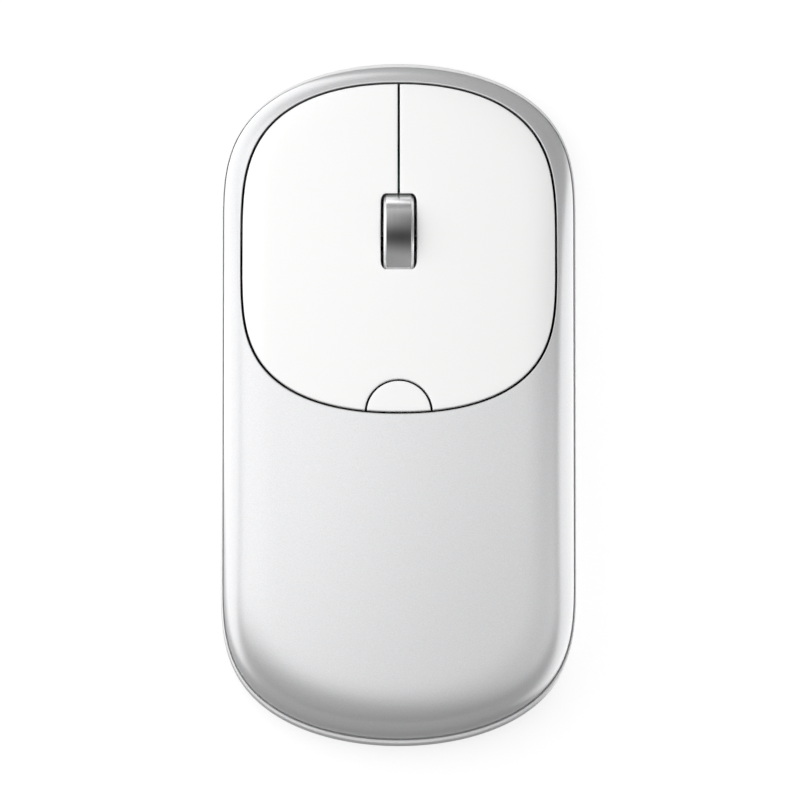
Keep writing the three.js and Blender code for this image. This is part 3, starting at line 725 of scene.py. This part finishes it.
def brick(centre, size, low, high, corner, edge, base_edge=None):
    """An upright block with rounded corners and edges."""
    return slab(lambda grow: rounded_rect(*size, corner, grow, centre, 4), low, high, edge, 3, base_edge)


def rod(radius, low, high, edge=0.1, centre=(0, 0), segments=32):
    """An upright round post with rounded edges."""
    profile = [(0, low), (radius, low), (radius, high), (0, high)]
    profile = round_corner(profile, edge, 3) if edge else profile
    return moved(turned(profile, segments, "Z"), (*centre, 0))


def ball(radius, centre, segments=32):
    steps = 16
    angles = [math.pi * k / steps for k in range(steps + 1)]
    profile = [(max(radius * math.sin(a), 0), -radius * math.cos(a)) for a in angles]
    return moved(turned(profile, segments, "Z"), centre)


def star(outer, inner, teeth, grow=0.0):
    """The outline of a toothed wheel."""
    points = []
    for k in range(teeth):
        for share, radius in ((0.0, inner), (0.3, inner), (0.4, outer), (0.9, outer)):
            angle = 2 * math.pi * (k + share) / teeth
            points.append(((radius + grow) * math.cos(angle), (radius + grow) * math.sin(angle)))
    return np.array(points)


def carved(name, node, adds, cuts=(), sharp=35):
    """A piece made by joining and cutting shapes. It stands for a CAD node and rides on the same body."""
    obj = mesh_of(name, adds[0])
    for shape in adds[1:]:
        boolean(obj, shape, "UNION")
    for shape in cuts:
        boolean(obj, shape)
    smooth(obj.data, sharp)
    normals = obj.modifiers.new("normals", "WEIGHTED_NORMAL")
    normals.keep_sharp = True
    dress(obj, BODY_OF[node], SLOT_OF[node], (node,))


def block(box, corner, edge, base_edge=None):
    """A brick that fills a node's box."""
    return brick(box.at, box.size[:2], box.bottom, box.top, corner, edge, base_edge)


def beam(box, middle, corner, edge, steps=4, base_edge=None, along=along_x):
    """A rounded bar along X or Y that fills a node's box, about a middle in the plane across it."""
    first, across = (0, 1) if along is along_x else (1, 0)
    outline = lambda grow: rounded_rect(box.size[across], box.size[2], corner, grow, middle, steps)
    curve = 3 if base_edge is None else 4
    return along(slab(outline, box.low[first], box.high[first], edge, curve, base_edge))


def glide_pieces():
    for node in GLIDES:
        box = Box(node)
        carved(node + "_pad", node, [block(box, box.size[0] / 2 - 0.05, 0.06, 0.2)])


def slider_piece():
    box = Box("power_slider")
    x, y = box.at
    knob_top = box.bottom + 0.6
    knob = brick(box.at, (4.6, 5.6), box.bottom, knob_top, 0.8, 0.08, 0.15)
    stem = brick(box.at, (1.9, 3.6), knob_top - 0.2, box.top, 0.3, 0.15)
    rows = [y + 0.9 * k for k in range(-2, 3)]
    grooves = [brick((x, row), (3.6, 0.36), box.bottom - 0.5, box.bottom + 0.22, 0.16, 0.12) for row in rows]
    carved("power_slider_knob", "power_slider", [knob, stem], [combined(*grooves)])


def lens_piece():
    box = Box("sensor_lens")
    plate = brick(box.at, (10, 11.2), 2.2, 3.4, 1.0, 0.15)
    nose = brick(box.at, (5.6, 8.4), box.bottom, 2.6, 2.7, 0.3, 0.2)
    throat = brick(box.at, (4.6, 6.0), 3.0, box.top, 0.6, 0.2)
    carved("sensor_lens_moulding", "sensor_lens", [plate, nose, throat], [ball(1.9, (*box.at, 0.15))])


def receiver_pieces():
    box = Box("receiver_plug")
    left, right = box.low[0], box.high[0]
    width, height = box.size[1:]
    middle = box.middle[1:]
    y = middle[0]
    wall = 0.35
    hollow = lambda grow: rounded_rect(width - 2 * wall, height - 2 * wall, 0.2, grow, middle, 4)
    windows = []
    for at in (y - 2.6, y + 2.6):
        for low, high in ((box.top - 0.5, box.top + 1), (box.bottom - 1, box.bottom + 0.5)):
            windows.append(brick((-4.3, at), (2.2, 2.2), low, high, 0.25, 0.1))
    seam = brick((-4.0, y), (13, 0.12), 0, box.bottom + 0.1, 0.05, 0.02)
    cuts = [along_x(slab(hollow, left - 1, right - 0.6, 0.05, 3)), combined(*windows), seam]
    carved("receiver_plug_shell", "receiver_plug", [beam(box, middle, 0.5, 0.08)], cuts)

    box = Box("receiver_tongue")
    carved("receiver_contact_bar", "receiver_tongue", [beam(box, (y, box.middle[2]), 0.25, 0.2)])
    rows = [y + 2.5 * (k - 1.5) for k in range(4)]
    contacts = [brick((-4.4, row), (7.6, 1.1), box.top - 0.05, box.top + 0.06, 0.2, 0.04) for row in rows]
    piece("receiver_contacts", combined(*contacts), "receiver", "plated_steel", material="gold_contact")

    box = Box("receiver_grip")
    grooves = []
    for x in (6.2, 7.2, 8.2):
        for low, high in ((box.bottom - 1, box.bottom + 0.22), (box.top - 0.22, box.top + 1)):
            grooves.append(brick((x, y), (0.4, 9.5), low, high, 0.18, 0.15))
    grip = beam(box, middle, 1.3, 0.6, 6, 0.15)
    carved("receiver_grip_moulding", "receiver_grip", [grip], [combined(*grooves)])


def port_pieces():
    box = Box("charging_port")
    middle = (0, box.middle[2])
    mouth_y, wall = box.high[1], 0.3
    width, _, height = box.size
    cavity = lambda grow: rounded_rect(width - 2 * wall, height - 2 * wall, 1.5 - wall, grow, middle, 8)
    mouth = loft([lift(cavity(grow), y) for grow, y in ((-0.02, mouth_y - 0.3), (0.22, mouth_y + 0.05))])
    seam = brick((0, box.middle[1]), (0.12, 8), 0, box.bottom + 0.1, 0.05, 0.02)
    cuts = [along_y(slab(cavity, box.low[1] + 0.5, mouth_y + 1, 0.05, 3)), along_y(mouth), seam]
    carved("charging_port_shell", "charging_port", [beam(box, middle, 1.5, 0.1, 8, along=along_y)], cuts)

    box = Box("charging_port_tongue")
    tab = beam(box, middle, 0.2, 0.15, along=along_y)
    carved("charging_port_tab", "charging_port_tongue", [tab])
    contacts = []
    for k in range(8):
        for low, high in ((box.top - 0.03, box.top + 0.04), (box.bottom - 0.04, box.bottom + 0.03)):
            contacts.append(brick((0.72 * (k - 3.5), 51.2), (0.34, 3.2), low, high, 0.1, 0.03))
    piece("charging_contacts", combined(*contacts), "root", "plated_steel", material="gold_contact")


def screw_shape(head, height, shank, length):
    """A pan-head screw with a coarse thread, its head below z = 0."""
    pitch, depth = 0.75, 0.2
    profile = [(0, -height), (head * 0.6, -height), (head * 0.88, -height * 0.8), (head, -height * 0.4)]
    profile += [(head, -0.06), (head - 0.06, 0), (shank - depth, 0)]
    turns = int((length - 0.9) / pitch)
    for k in range(turns):
        z = 0.3 + k * pitch
        profile += [(shank - depth, z), (shank, z + 0.24), (shank, z + 0.32), (shank - depth, z + 0.56)]
    profile += [(shank - depth, length - 0.5), (0.25, length), (0, length)]
    return turned(profile, 40, "Z")


def screw_pieces():
    kinds = {"case": (2.1, 0.95, 0.95, 6.0), "board": (1.8, 0.8, 0.8, 3.4), "frame": (1.8, 0.8, 0.9, 2.6)}
    for kind, (head, height, shank, length) in kinds.items():
        for side in ("left", "right"):
            node = f"{kind}_screw_{side}"
            box = Box(node)
            down = kind == "board"
            seat = box.top - height if down else box.bottom + height
            turn = Matrix.Rotation(math.pi, 4, "X") if down else None
            place = lambda shape: moved(shape, (*box.at, seat), turn)
            cross = ((2.1, 0.42), (0.42, 2.1))
            recess = [place(brick((0, 0), size, -height - 1, 0.45 - height, 0.12, 0.1)) for size in cross]
            carved(node + "_turned", node, [place(screw_shape(head, height, shank, length))], recess)


def switch_pieces():
    for side in ("left", "right"):
        box, stem = Box(side + "_switch_case"), Box(side + "_switch_stem")
        (x, y), size = box.at, box.size[:2]
        seam = box.bottom + 2.9
        adds = [
            brick(box.at, size, box.bottom, seam, 0.35, 0.1),
            brick(box.at, size, seam + 0.2, box.top, 0.35, 0.18, 0.08),
            brick(box.at, size - 0.3, box.bottom + 0.5, box.top - 0.5, 0.3, 0.1),
        ]
        adds += [brick((x, y + at), (0.9, 0.5), 5.0, box.bottom + 0.3, 0.1, 0.05) for at in (-5, 0, 5)]
        for at in (-size[0] / 2, size[0] / 2):
            adds.append(brick((x + at, y), (0.5, 2.4), box.bottom, box.bottom + 1.4, 0.1, 0.1))
        pocket = brick(stem.at, (1.6, 2.8), box.top - 1.2, box.top + 1, 0.3, 0.1)
        carved(side + "_switch_housing", side + "_switch_case", adds, [pocket])
        plunger = brick(stem.at, (1.2, 2.4), stem.bottom, stem.top, 0.4, 0.3, 0.05)
        carved(side + "_switch_plunger", side + "_switch_stem", [plunger])
    for name in ("wheel", "dpi"):
        box, stem = Box(name + "_switch_case"), Box(name + "_switch_stem")
        (x, y), size = box.at, box.size[:2]
        corners = [(x + i * 2.3, y + j * 2.3) for i in (-1, 1) for j in (-1, 1)]
        adds = [
            brick(box.at, size - 0.2, box.bottom, box.top - 0.3, 0.3, 0.05),
            brick(box.at, size, box.top - 0.9, box.top - 0.12, 0.5, 0.12, 0.05),
            combined(*[rod(0.42, box.top - 0.5, box.top, 0.1, corner) for corner in corners]),
        ]
        hole = rod(1.85, box.top - 1, box.top + 1, 0, box.at, 48)
        carved(name + "_switch_can", name + "_switch_case", adds, [hole])
        button = rod(1.7, stem.bottom, stem.top, 0.18, box.at, 48)
        carved(name + "_switch_button", name + "_switch_stem", [button])


def chip_pieces():
    box = Box("sensor_chip")
    x, y = box.at
    body = brick(box.at, box.size[:2] - (0.6, 0), box.bottom + 0.1, box.top, 0.25, 0.12)
    legs = []
    for k in range(6):
        for side in (-1, 1):
            at = (x + side * (box.high[0] - 0.35), y + 1.5 * (k - 2.5))
            legs.append(brick(at, (0.7, 0.5), box.bottom, box.bottom + 0.9, 0.1, 0.08))
    dimple = rod(0.5, box.top - 0.12, box.top + 1, 0, (x - 2.6, y + 3.6))
    carved("sensor_chip_package", "sensor_chip", [body, combined(*legs)], [dimple])

    box = Box("radio_chip")
    x, y = box.at
    body = brick(box.at, box.size[:2] - 0.3, box.bottom + 0.03, box.top, 0.2, 0.06)
    pads = []
    for k in range(8):
        for side in (-1, 1):
            out, along = side * 2.8, 0.62 * (k - 3.5)
            for at, size in (((out, along), (0.4, 0.3)), ((along, out), (0.3, 0.4))):
                pads.append(brick(box.at + at, size, box.bottom, box.bottom + 0.2, 0.08, 0.03))
    dimple = rod(0.3, box.top - 0.08, box.top + 1, 0, (x - 2.1, y + 2.1))
    carved("radio_chip_package", "radio_chip", [body, combined(*pads)], [dimple])


def board_components():
    """Rows of small soldered parts on the board, its clock crystal and its charging chip."""
    top = Box("main_board").top
    sunk = top - 0.02
    bodies, ends = [], []
    rows = [((8.5, 16.5), (2.2, 0), 6), ((8.5, 13.5), (2.2, 0), 6), ((-18.5, 9.5), (0, 2.2), 5)]
    rows += [((-9.5, 42.0), (2.2, 0), 4), ((9.0, -4.5), (2.2, 0), 5)]
    for start, step, count in rows:
        for k in range(count):
            at = np.array(start) + np.array(step) * k
            along = (1.0, 0.75) if step[0] == 0 else (0.75, 1.0)
            tip = (0.3, 0) if step[0] == 0 else (0, 0.3)
            size = np.array(along) + np.abs(tip) * 2
            cap = (0.4, 0.8) if tip[0] else (0.8, 0.4)
            bodies.append(brick(at, along, sunk, top + 0.5, 0.1, 0.06))
            for side in (-1, 1):
                end = at + side * (size / 2 - 0.05) * (np.array(tip) > 0)
                ends.append(brick(end, cap, sunk, top + 0.46, 0.08, 0.06))
    bodies.append(brick((8.0, 42.5), (3.2, 3.2), sunk, top + 0.85, 0.15, 0.08))
    ends.append(brick((-12.0, 19.0), (4.8, 3.2), sunk, top + 1.1, 0.6, 0.2))
    piece("board_chips", combined(*bodies), "root", "black_plastic")
    piece("board_solder_ends", combined(*ends), "root", "plated_steel")


def tube(points, radius, segments=16, steps=14):
    """A round cord along a smooth curve through the points."""
    points = [np.array(p, float) for p in points]
    points = [2 * points[0] - points[1], *points, 2 * points[-1] - points[-2]]
    path = []
    for a, b, c, d in zip(points, points[1:], points[2:], points[3:]):
        for k in range(steps):
            t = k / steps
            bend, twist = 2 * a - 5 * b + 4 * c - d, 3 * b - a - 3 * c + d
            path.append(0.5 * (2 * b + (c - a) * t + bend * t**2 + twist * t**3))
    path.append(points[-2])
    rings = []
    for k, here in enumerate(path):
        ahead = path[min(k + 1, len(path) - 1)] - path[max(k - 1, 0)]
        ahead /= np.linalg.norm(ahead)
        side = np.cross(ahead, (0, 0, 1))
        side /= np.linalg.norm(side)
        up = np.cross(side, ahead)
        angles = np.linspace(0, 2 * math.pi, segments, endpoint=False)
        rings.append(here + radius * (np.outer(np.cos(angles), side) + np.outer(np.sin(angles), up)))
    return loft(rings)


def battery_pieces():
    box = Box("battery_cell")
    (x, y), (width, depth) = box.at, box.size[:2]
    pouch = brick((x, y - 0.9), (width - 0.8, depth - 2.2), box.bottom, box.top, 2.6, 1.5)
    flange = brick((x, y - 0.3), (width, depth - 0.8), 6.5, 6.9, 1.4, 0.15)
    strip = brick((x, box.high[1] - 1.6), (width - 5, 3.0), 5.0, 8.6, 0.6, 0.4)
    carved("battery_pouch", "battery_cell", [pouch, flange, strip])

    box = Box("battery_pad")
    ends = box.top - 0.2, box.top + 1
    slits = [brick((at, box.middle[1]), (0.3, 12), *ends, 0.12, 0.08) for at in (-7.5, 0, 7.5)]
    carved("battery_foam", "battery_pad", [block(box, 0.6, 0.12)], [combined(*slits)])

    box = Box("battery_socket")
    x, y = box.at
    mouth = brick((x, box.low[1]), (4.6, 4.4), box.bottom + 0.6, box.top - 0.5, 0.2, 0.1)
    slots = [brick((x + at, y + 1.2), (0.7, 1.6), box.top - 0.3, box.top + 1, 0.2, 0.1) for at in (-1, 1)]
    carved("battery_socket_housing", "battery_socket", [block(box, 0.3, 0.12)], [mouth, combined(*slots)])

    box = Box("battery_plug")
    x, rear = box.at[0], box.low[1]
    latch = brick((x, rear + 1.1), (3.0, 0.7), box.top - 0.2, box.top + 0.3, 0.2, 0.12)
    entries = [along_y(rod(0.75, rear - 1, rear + 1.2, 0, (x + at, 0), 24)) for at in (-1, 1)]
    entries = moved(combined(*entries), (0, 0, 8.4))
    carved("battery_plug_housing", "battery_plug", [block(box, 0.3, 0.15), latch], [entries])

    for name, start in (("red", -14.0), ("black", -16.0)):
        path = [(start, -10.6, 8.4), (start, -11.8, 8.45), (start - 0.6, -16, 9.6), (start + 0.5, -23, 9.2)]
        path.append((start + 0.8, -28.1, 8.0))
        carved(f"battery_lead_{name}", f"battery_wire_{name}", [tube(path, 0.55)])


def wheel_inner_pieces():
    box = Box("wheel_hub")
    left, right = box.low[0], box.high[0]
    outer, axle, boss, band, half, web = WHEEL_RADIUS - 1.6, 1.1, 2.6, 5.6, 2.0, 0.9
    profile = [(0, left), (axle, left), (axle, -half), (boss, -half), (boss, -web), (band, -web)]
    profile += [(band, -half), (outer, -half), (outer, half), (band, half), (band, web), (boss, web)]
    profile += [(boss, half), (axle, half), (axle, right), (0, right)]
    hub = moved(turned(round_corner(profile, 0.15, 3), 96), WHEEL_MIDDLE)
    places = [(4.1 * math.cos(math.pi / 3 * k), 4.1 * math.sin(math.pi / 3 * k)) for k in range(6)]
    holes = combined(*[along_x(rod(1.15, -3, 3, 0, place, 24)) for place in places])
    carved("scroll_wheel_hub", "wheel_hub", [hub], [moved(holes, WHEEL_MIDDLE)])

    box = Box("encoder_rotor")
    half = box.size[0] / 2
    teeth = along_x(slab(lambda grow: star(2.3, 1.95, 20, grow), -half, half, 0.08, 2))
    bore = along_x(rod(1.16, -3, 3, 0, (0, 0), 40))
    place = (box.middle[0], *WHEEL_MIDDLE[1:])
    carved("encoder_rotor_teeth", "encoder_rotor", [moved(teeth, place)], [moved(bore, place)])


def refine_carried():
    """Smooths the CAD solids that are shown as they are, and rounds the edges of all but one."""
    for name, obj in frame["nodes"].items():
        if obj.hide_render:
            continue
        weld = obj.modifiers.new("weld", "WELD")
        weld.merge_threshold = WELD / 20 * MM
        smooth(obj.data, 35)
        if name == "inner_frame":
            continue  # too finely faceted for a bevel
        bevel = obj.modifiers.new("bevel", "BEVEL")
        bevel.width = 0.12 * MM
        bevel.segments = 2
        bevel.limit_method = "ANGLE"
        bevel.angle_limit = math.radians(40)


# ---- Materials ----


def feed(tree, target, inputs):
    """Gives each named input of a node a value, or a link from a socket."""
    for name, value in inputs.items():
        if isinstance(value, bpy.types.NodeSocket):
            tree.links.new(value, target.inputs[name])
        else:
            target.inputs[name].default_value = value


def new_node(tree, kind, inputs=None, **settings):
    """The outputs of a new shader node."""
    node = tree.nodes.new("ShaderNode" + kind)
    for name, value in settings.items():
        setattr(node, name, value)
    feed(tree, node, inputs or {})
    return node.outputs


def ramp(tree, value, edges, levels, shape="LINEAR"):
    """Goes from levels[0] to levels[1] as the value goes from edges[0] to edges[1]."""
    inputs = dict(zip(("From Min", "From Max", "To Min", "To Max"), (*edges, *levels)), Value=value)
    return new_node(tree, "MapRange", inputs, interpolation_type=shape)["Result"]


def scaled(tree, color, share):
    return new_node(tree, "VectorMath", {0: color, "Scale": share}, operation="SCALE")["Vector"]


def object_place(tree):
    return new_node(tree, "TexCoord")["Object"]


def surface_of(material):
    return material.node_tree.nodes["Principled BSDF"]


def shader(name, color, roughness, metallic, grain, bump, tint, rough_vary, stretch=(1, 1, 1)):
    """A material with procedural grain, `grain` mm wide, in its colour, its roughness and its relief."""
    material = bpy.data.materials.new(name)
    material.use_nodes = True
    tree = material.node_tree
    inputs = {"Base Color": (*color, 1), "Roughness": roughness, "Metallic": metallic}
    place = new_node(tree, "Mapping", {"Vector": object_place(tree), "Scale": stretch})["Vector"]
    noise = new_node(tree, "TexNoise", {"Vector": place, "Scale": 1 / (grain * MM), "Detail": 2.5})["Fac"]
    if tint:
        inputs["Base Color"] = scaled(tree, color, ramp(tree, noise, (0.3, 0.7), (1 - tint, 1 + tint)))
    if rough_vary:
        inputs["Roughness"] = ramp(tree, noise, (0, 1), (roughness - rough_vary, roughness + rough_vary))
    if bump:
        relief = {"Height": noise, "Strength": 1.0, "Distance": bump * MM}
        inputs["Normal"] = new_node(tree, "Bump", relief)["Normal"]
    feed(tree, surface_of(material), inputs)
    return material


def paint_ceiling_reflection(material):
    """Painted reflection: darkens a metal's base colour where it faces straight up, as if a dark ceiling were
    mirrored in it.
    """
    tree = material.node_tree
    color = surface_of(material).inputs["Base Color"]
    up = new_node(tree, "SeparateXYZ", {0: new_node(tree, "NewGeometry")["Normal"]})["Z"]
    reflection_shade = scaled(tree, color.links[0].from_socket, ramp(tree, up, (0.85, 1.0), (1.0, 0.05)))
    tree.links.new(reflection_shade, color)


def etch_tracks(material, color, pitch):
    """Draws a pattern of copper tracks, `pitch` mm wide, under the lacquer of a circuit board."""
    tree = material.node_tree
    base = surface_of(material).inputs["Base Color"]
    inputs = {"Scale": 1 / (pitch * MM), "Mortar Size": 0.025, "Mortar Smooth": 0.2}
    tracks = new_node(tree, "TexBrick", {"Vector": object_place(tree), **inputs})["Fac"]
    inputs = {"Factor": tracks, "A": base.links[0].from_socket, "B": (*color, 1)}
    tree.links.new(new_node(tree, "Mix", inputs, data_type="RGBA")["Result"], base)


def make_materials():
    """All finishes: colour, roughness, metallic share, grain and relief (mm), changes in colour and gloss."""
    finishes = {
        "silver_paint": ((0.69, 0.692, 0.7), 0.31, 0.5, 0.2, 0.003, 0.05, 0.05),
        "white_panel": ((0.97, 0.97, 0.965), 0.42, 0, 0.3, 0.0015, 0.006, 0.03),
        "rim_plastic": ((0.82, 0.822, 0.828), 0.35, 0.15, 0.5, 0.001, 0.015, 0.04),
        "black_plastic": ((0.012, 0.012, 0.012), 0.55, 0, 0.15, 0.004, 0.3, 0.08),
        "wheel_metal": ((0.86, 0.86, 0.87), 0.2, 0.9, 0.09, 0.0006, 0.05, 0.05, (1, 0.02, 0.02)),
        "plated_steel": ((0.62, 0.63, 0.64), 0.28, 1, 0.4, 0.002, 0.05, 0.08),
        "circuit_board": ((0.012, 0.10, 0.04), 0.35, 0, 0.8, 0.01, 0.3, 0.05),
        "clear_lens": ((0.75, 0.8, 0.84), 0.08, 0, 1.5, 0.002, 0.02, 0.02),
        "glide_pad": ((0.74, 0.74, 0.72), 0.5, 0, 0.12, 0.003, 0.03, 0.05),
        "battery_foil": ((0.55, 0.57, 0.6), 0.35, 0.9, 2.5, 0.05, 0.06, 0.1),
        "foam_pad": ((0.03, 0.03, 0.03), 0.9, 0, 0.3, 0.03, 0.3, 0.05),
        "gold_contact": ((0.83, 0.6, 0.24), 0.25, 1, 0.3, 0.002, 0.05, 0.08),
        "ivory_plastic": ((0.78, 0.74, 0.62), 0.45, 0, 0.3, 0.003, 0.03, 0.05),
        "red_wire": ((0.5, 0.02, 0.012), 0.4, 0, 0.4, 0.004, 0.08, 0.06),
        "black_wire": ((0.015, 0.015, 0.015), 0.4, 0, 0.4, 0.004, 0.2, 0.06),
    }
    made = {name: shader(name, *finish) for name, finish in finishes.items()}
    surface_of(made["circuit_board"]).inputs["Coat Weight"].default_value = 0.4
    surface_of(made["clear_lens"]).inputs["Alpha"].default_value = 0.45
    # painted reflection: the wheel's base colour goes dark where its surface faces straight up
    paint_ceiling_reflection(made["wheel_metal"])
    etch_tracks(made["circuit_board"], (0.03, 0.17, 0.07), 9.0)
    return made


# ---- Stage, light and camera ----


def reach(tree, place, direction):
    """How far a place or a direction goes along `direction`."""
    return new_node(tree, "VectorMath", {0: place, 1: direction}, operation="DOT_PRODUCT")["Value"]


def maths(tree, operation, a, b):
    return new_node(tree, "Math", {0: a, 1: b}, operation=operation)["Value"]


def step(tree, value, edges, levels):
    return ramp(tree, value, edges, levels, "SMOOTHSTEP")


def for_camera(tree, level, camera_level):
    """One level for rays that light the object, and another for those that the camera sees directly."""
    seen = new_node(tree, "LightPath")["Is Camera Ray"]
    return new_node(tree, "Mix", {"Factor": seen, "A": level, "B": camera_level})["Result"]


def make_world():
    """A soft studio: bright walls left and right, dim ones at both ends, round a dim opening overhead."""
    world = bpy.data.worlds.new("studio")
    bpy.context.scene.world = world
    world.use_nodes = True
    tree = world.node_tree
    way = new_node(tree, "TexCoord")["Generated"]
    opening = reach(tree, way, Vector((*OPENING_LEAN, 1)).normalized())
    level = step(tree, opening, (math.cos(OPENING[1]), math.cos(OPENING[0])), (1, OPENING_LEVEL))
    ends = maths(tree, "ABSOLUTE", reach(tree, way, (math.cos(END_AXIS), math.sin(END_AXIS), 0)), 0)
    shares = (
        (reach(tree, way, (1, 0, 0)), WALL_EDGES, (LEFT_WALL, RIGHT_WALL)),
        (reach(tree, way, (0, 1, 0)), WALL_EDGES, (REAR_WALL, FRONT_WALL)),
        (ends, END_EDGES, (1, END_LEVEL)),
        (reach(tree, way, (0, 0, 1)), (0, HORIZON_HEIGHT), (HORIZON_LEVEL * ROOM_LEVEL, ROOM_LEVEL)),
    )
    for share in shares:
        level = maths(tree, "MULTIPLY", level, step(tree, *share))
    level = maths(tree, "MINIMUM", level, ROOM_BRIGHTEST)
    feed(tree, tree.nodes["Background"], {"Strength": for_camera(tree, level, 1.0), "Color": (1, 1, 1, 1)})


def make_stage():
    """A pale sheet, with a bright card on it at each side of the object."""
    corners = np.array([(-1, -1, 0), (1, -1, 0), (1, 1, 0), (-1, 1, 0)])
    floor = mesh_of("floor", (corners * FLOOR_REACH, [(0, 1, 2, 3)]))
    floor.location.z = -FLOOR_SINK * MM
    sheet = shader("floor_sheet", (0.36, 0.36, 0.36), 0.85, 0, 3.0, 0.0, 0.004, 0.0)
    tree = sheet.node_tree
    place = object_place(tree)
    along = reach(tree, place, (0, 1, 0))
    glow = 0
    for side, front in CARDS:
        card = step(tree, reach(tree, place, (*side, 0)), CARD_EDGES, (0, CARD_GLOW))
        card = maths(tree, "MULTIPLY", card, step(tree, along, CARD_REAR, (0, 1)))
        card = maths(tree, "MULTIPLY", card, step(tree, along, front, (1, 0)))
        glow = maths(tree, "MAXIMUM", card, glow)
    shine = {"Emission Color": (1, 1, 1, 1), "Emission Strength": for_camera(tree, glow, FLOOR_GLOW)}
    feed(tree, surface_of(sheet), {"Specular IOR Level": 0.1, **shine})
    floor.data.materials.append(sheet)


def make_camera():
    data = bpy.data.cameras.new("camera")
    camera = bpy.data.objects.new("camera", data)
    bpy.context.scene.collection.objects.link(camera)
    back = Vector((0, -math.sin(CAMERA_TILT), math.cos(CAMERA_TILT)))
    camera.location = Vector(CAMERA_AIM) + back * CAMERA_DISTANCE
    camera.rotation_euler = (CAMERA_TILT, 0, 0)
    data.sensor_width = 36
    data.lens = data.sensor_width * CAMERA_DISTANCE / FRAME_WIDTH
    data.clip_end = 50
    bpy.context.scene.camera = camera


# ---- Build ----

MATERIALS = make_materials()
for name, obj in frame["nodes"].items():
    obj.data.materials.clear()
    obj.data.materials.append(MATERIALS[SLOT_OF[name]])

piece("cover", cover_shape(), "root", "silver_paint", ("top_cover",), sharp=50)
base_piece()
key_pieces()
button_piece()
wheel_piece()
wheel_inner_pieces()
switch_pieces()
chip_pieces()
board_components()
battery_pieces()
port_pieces()
screw_pieces()
slider_piece()
lens_piece()
glide_pieces()
receiver_pieces()
refine_carried()

make_world()
make_stage()
make_camera()
bpy.context.scene.view_settings.view_transform = "Standard"
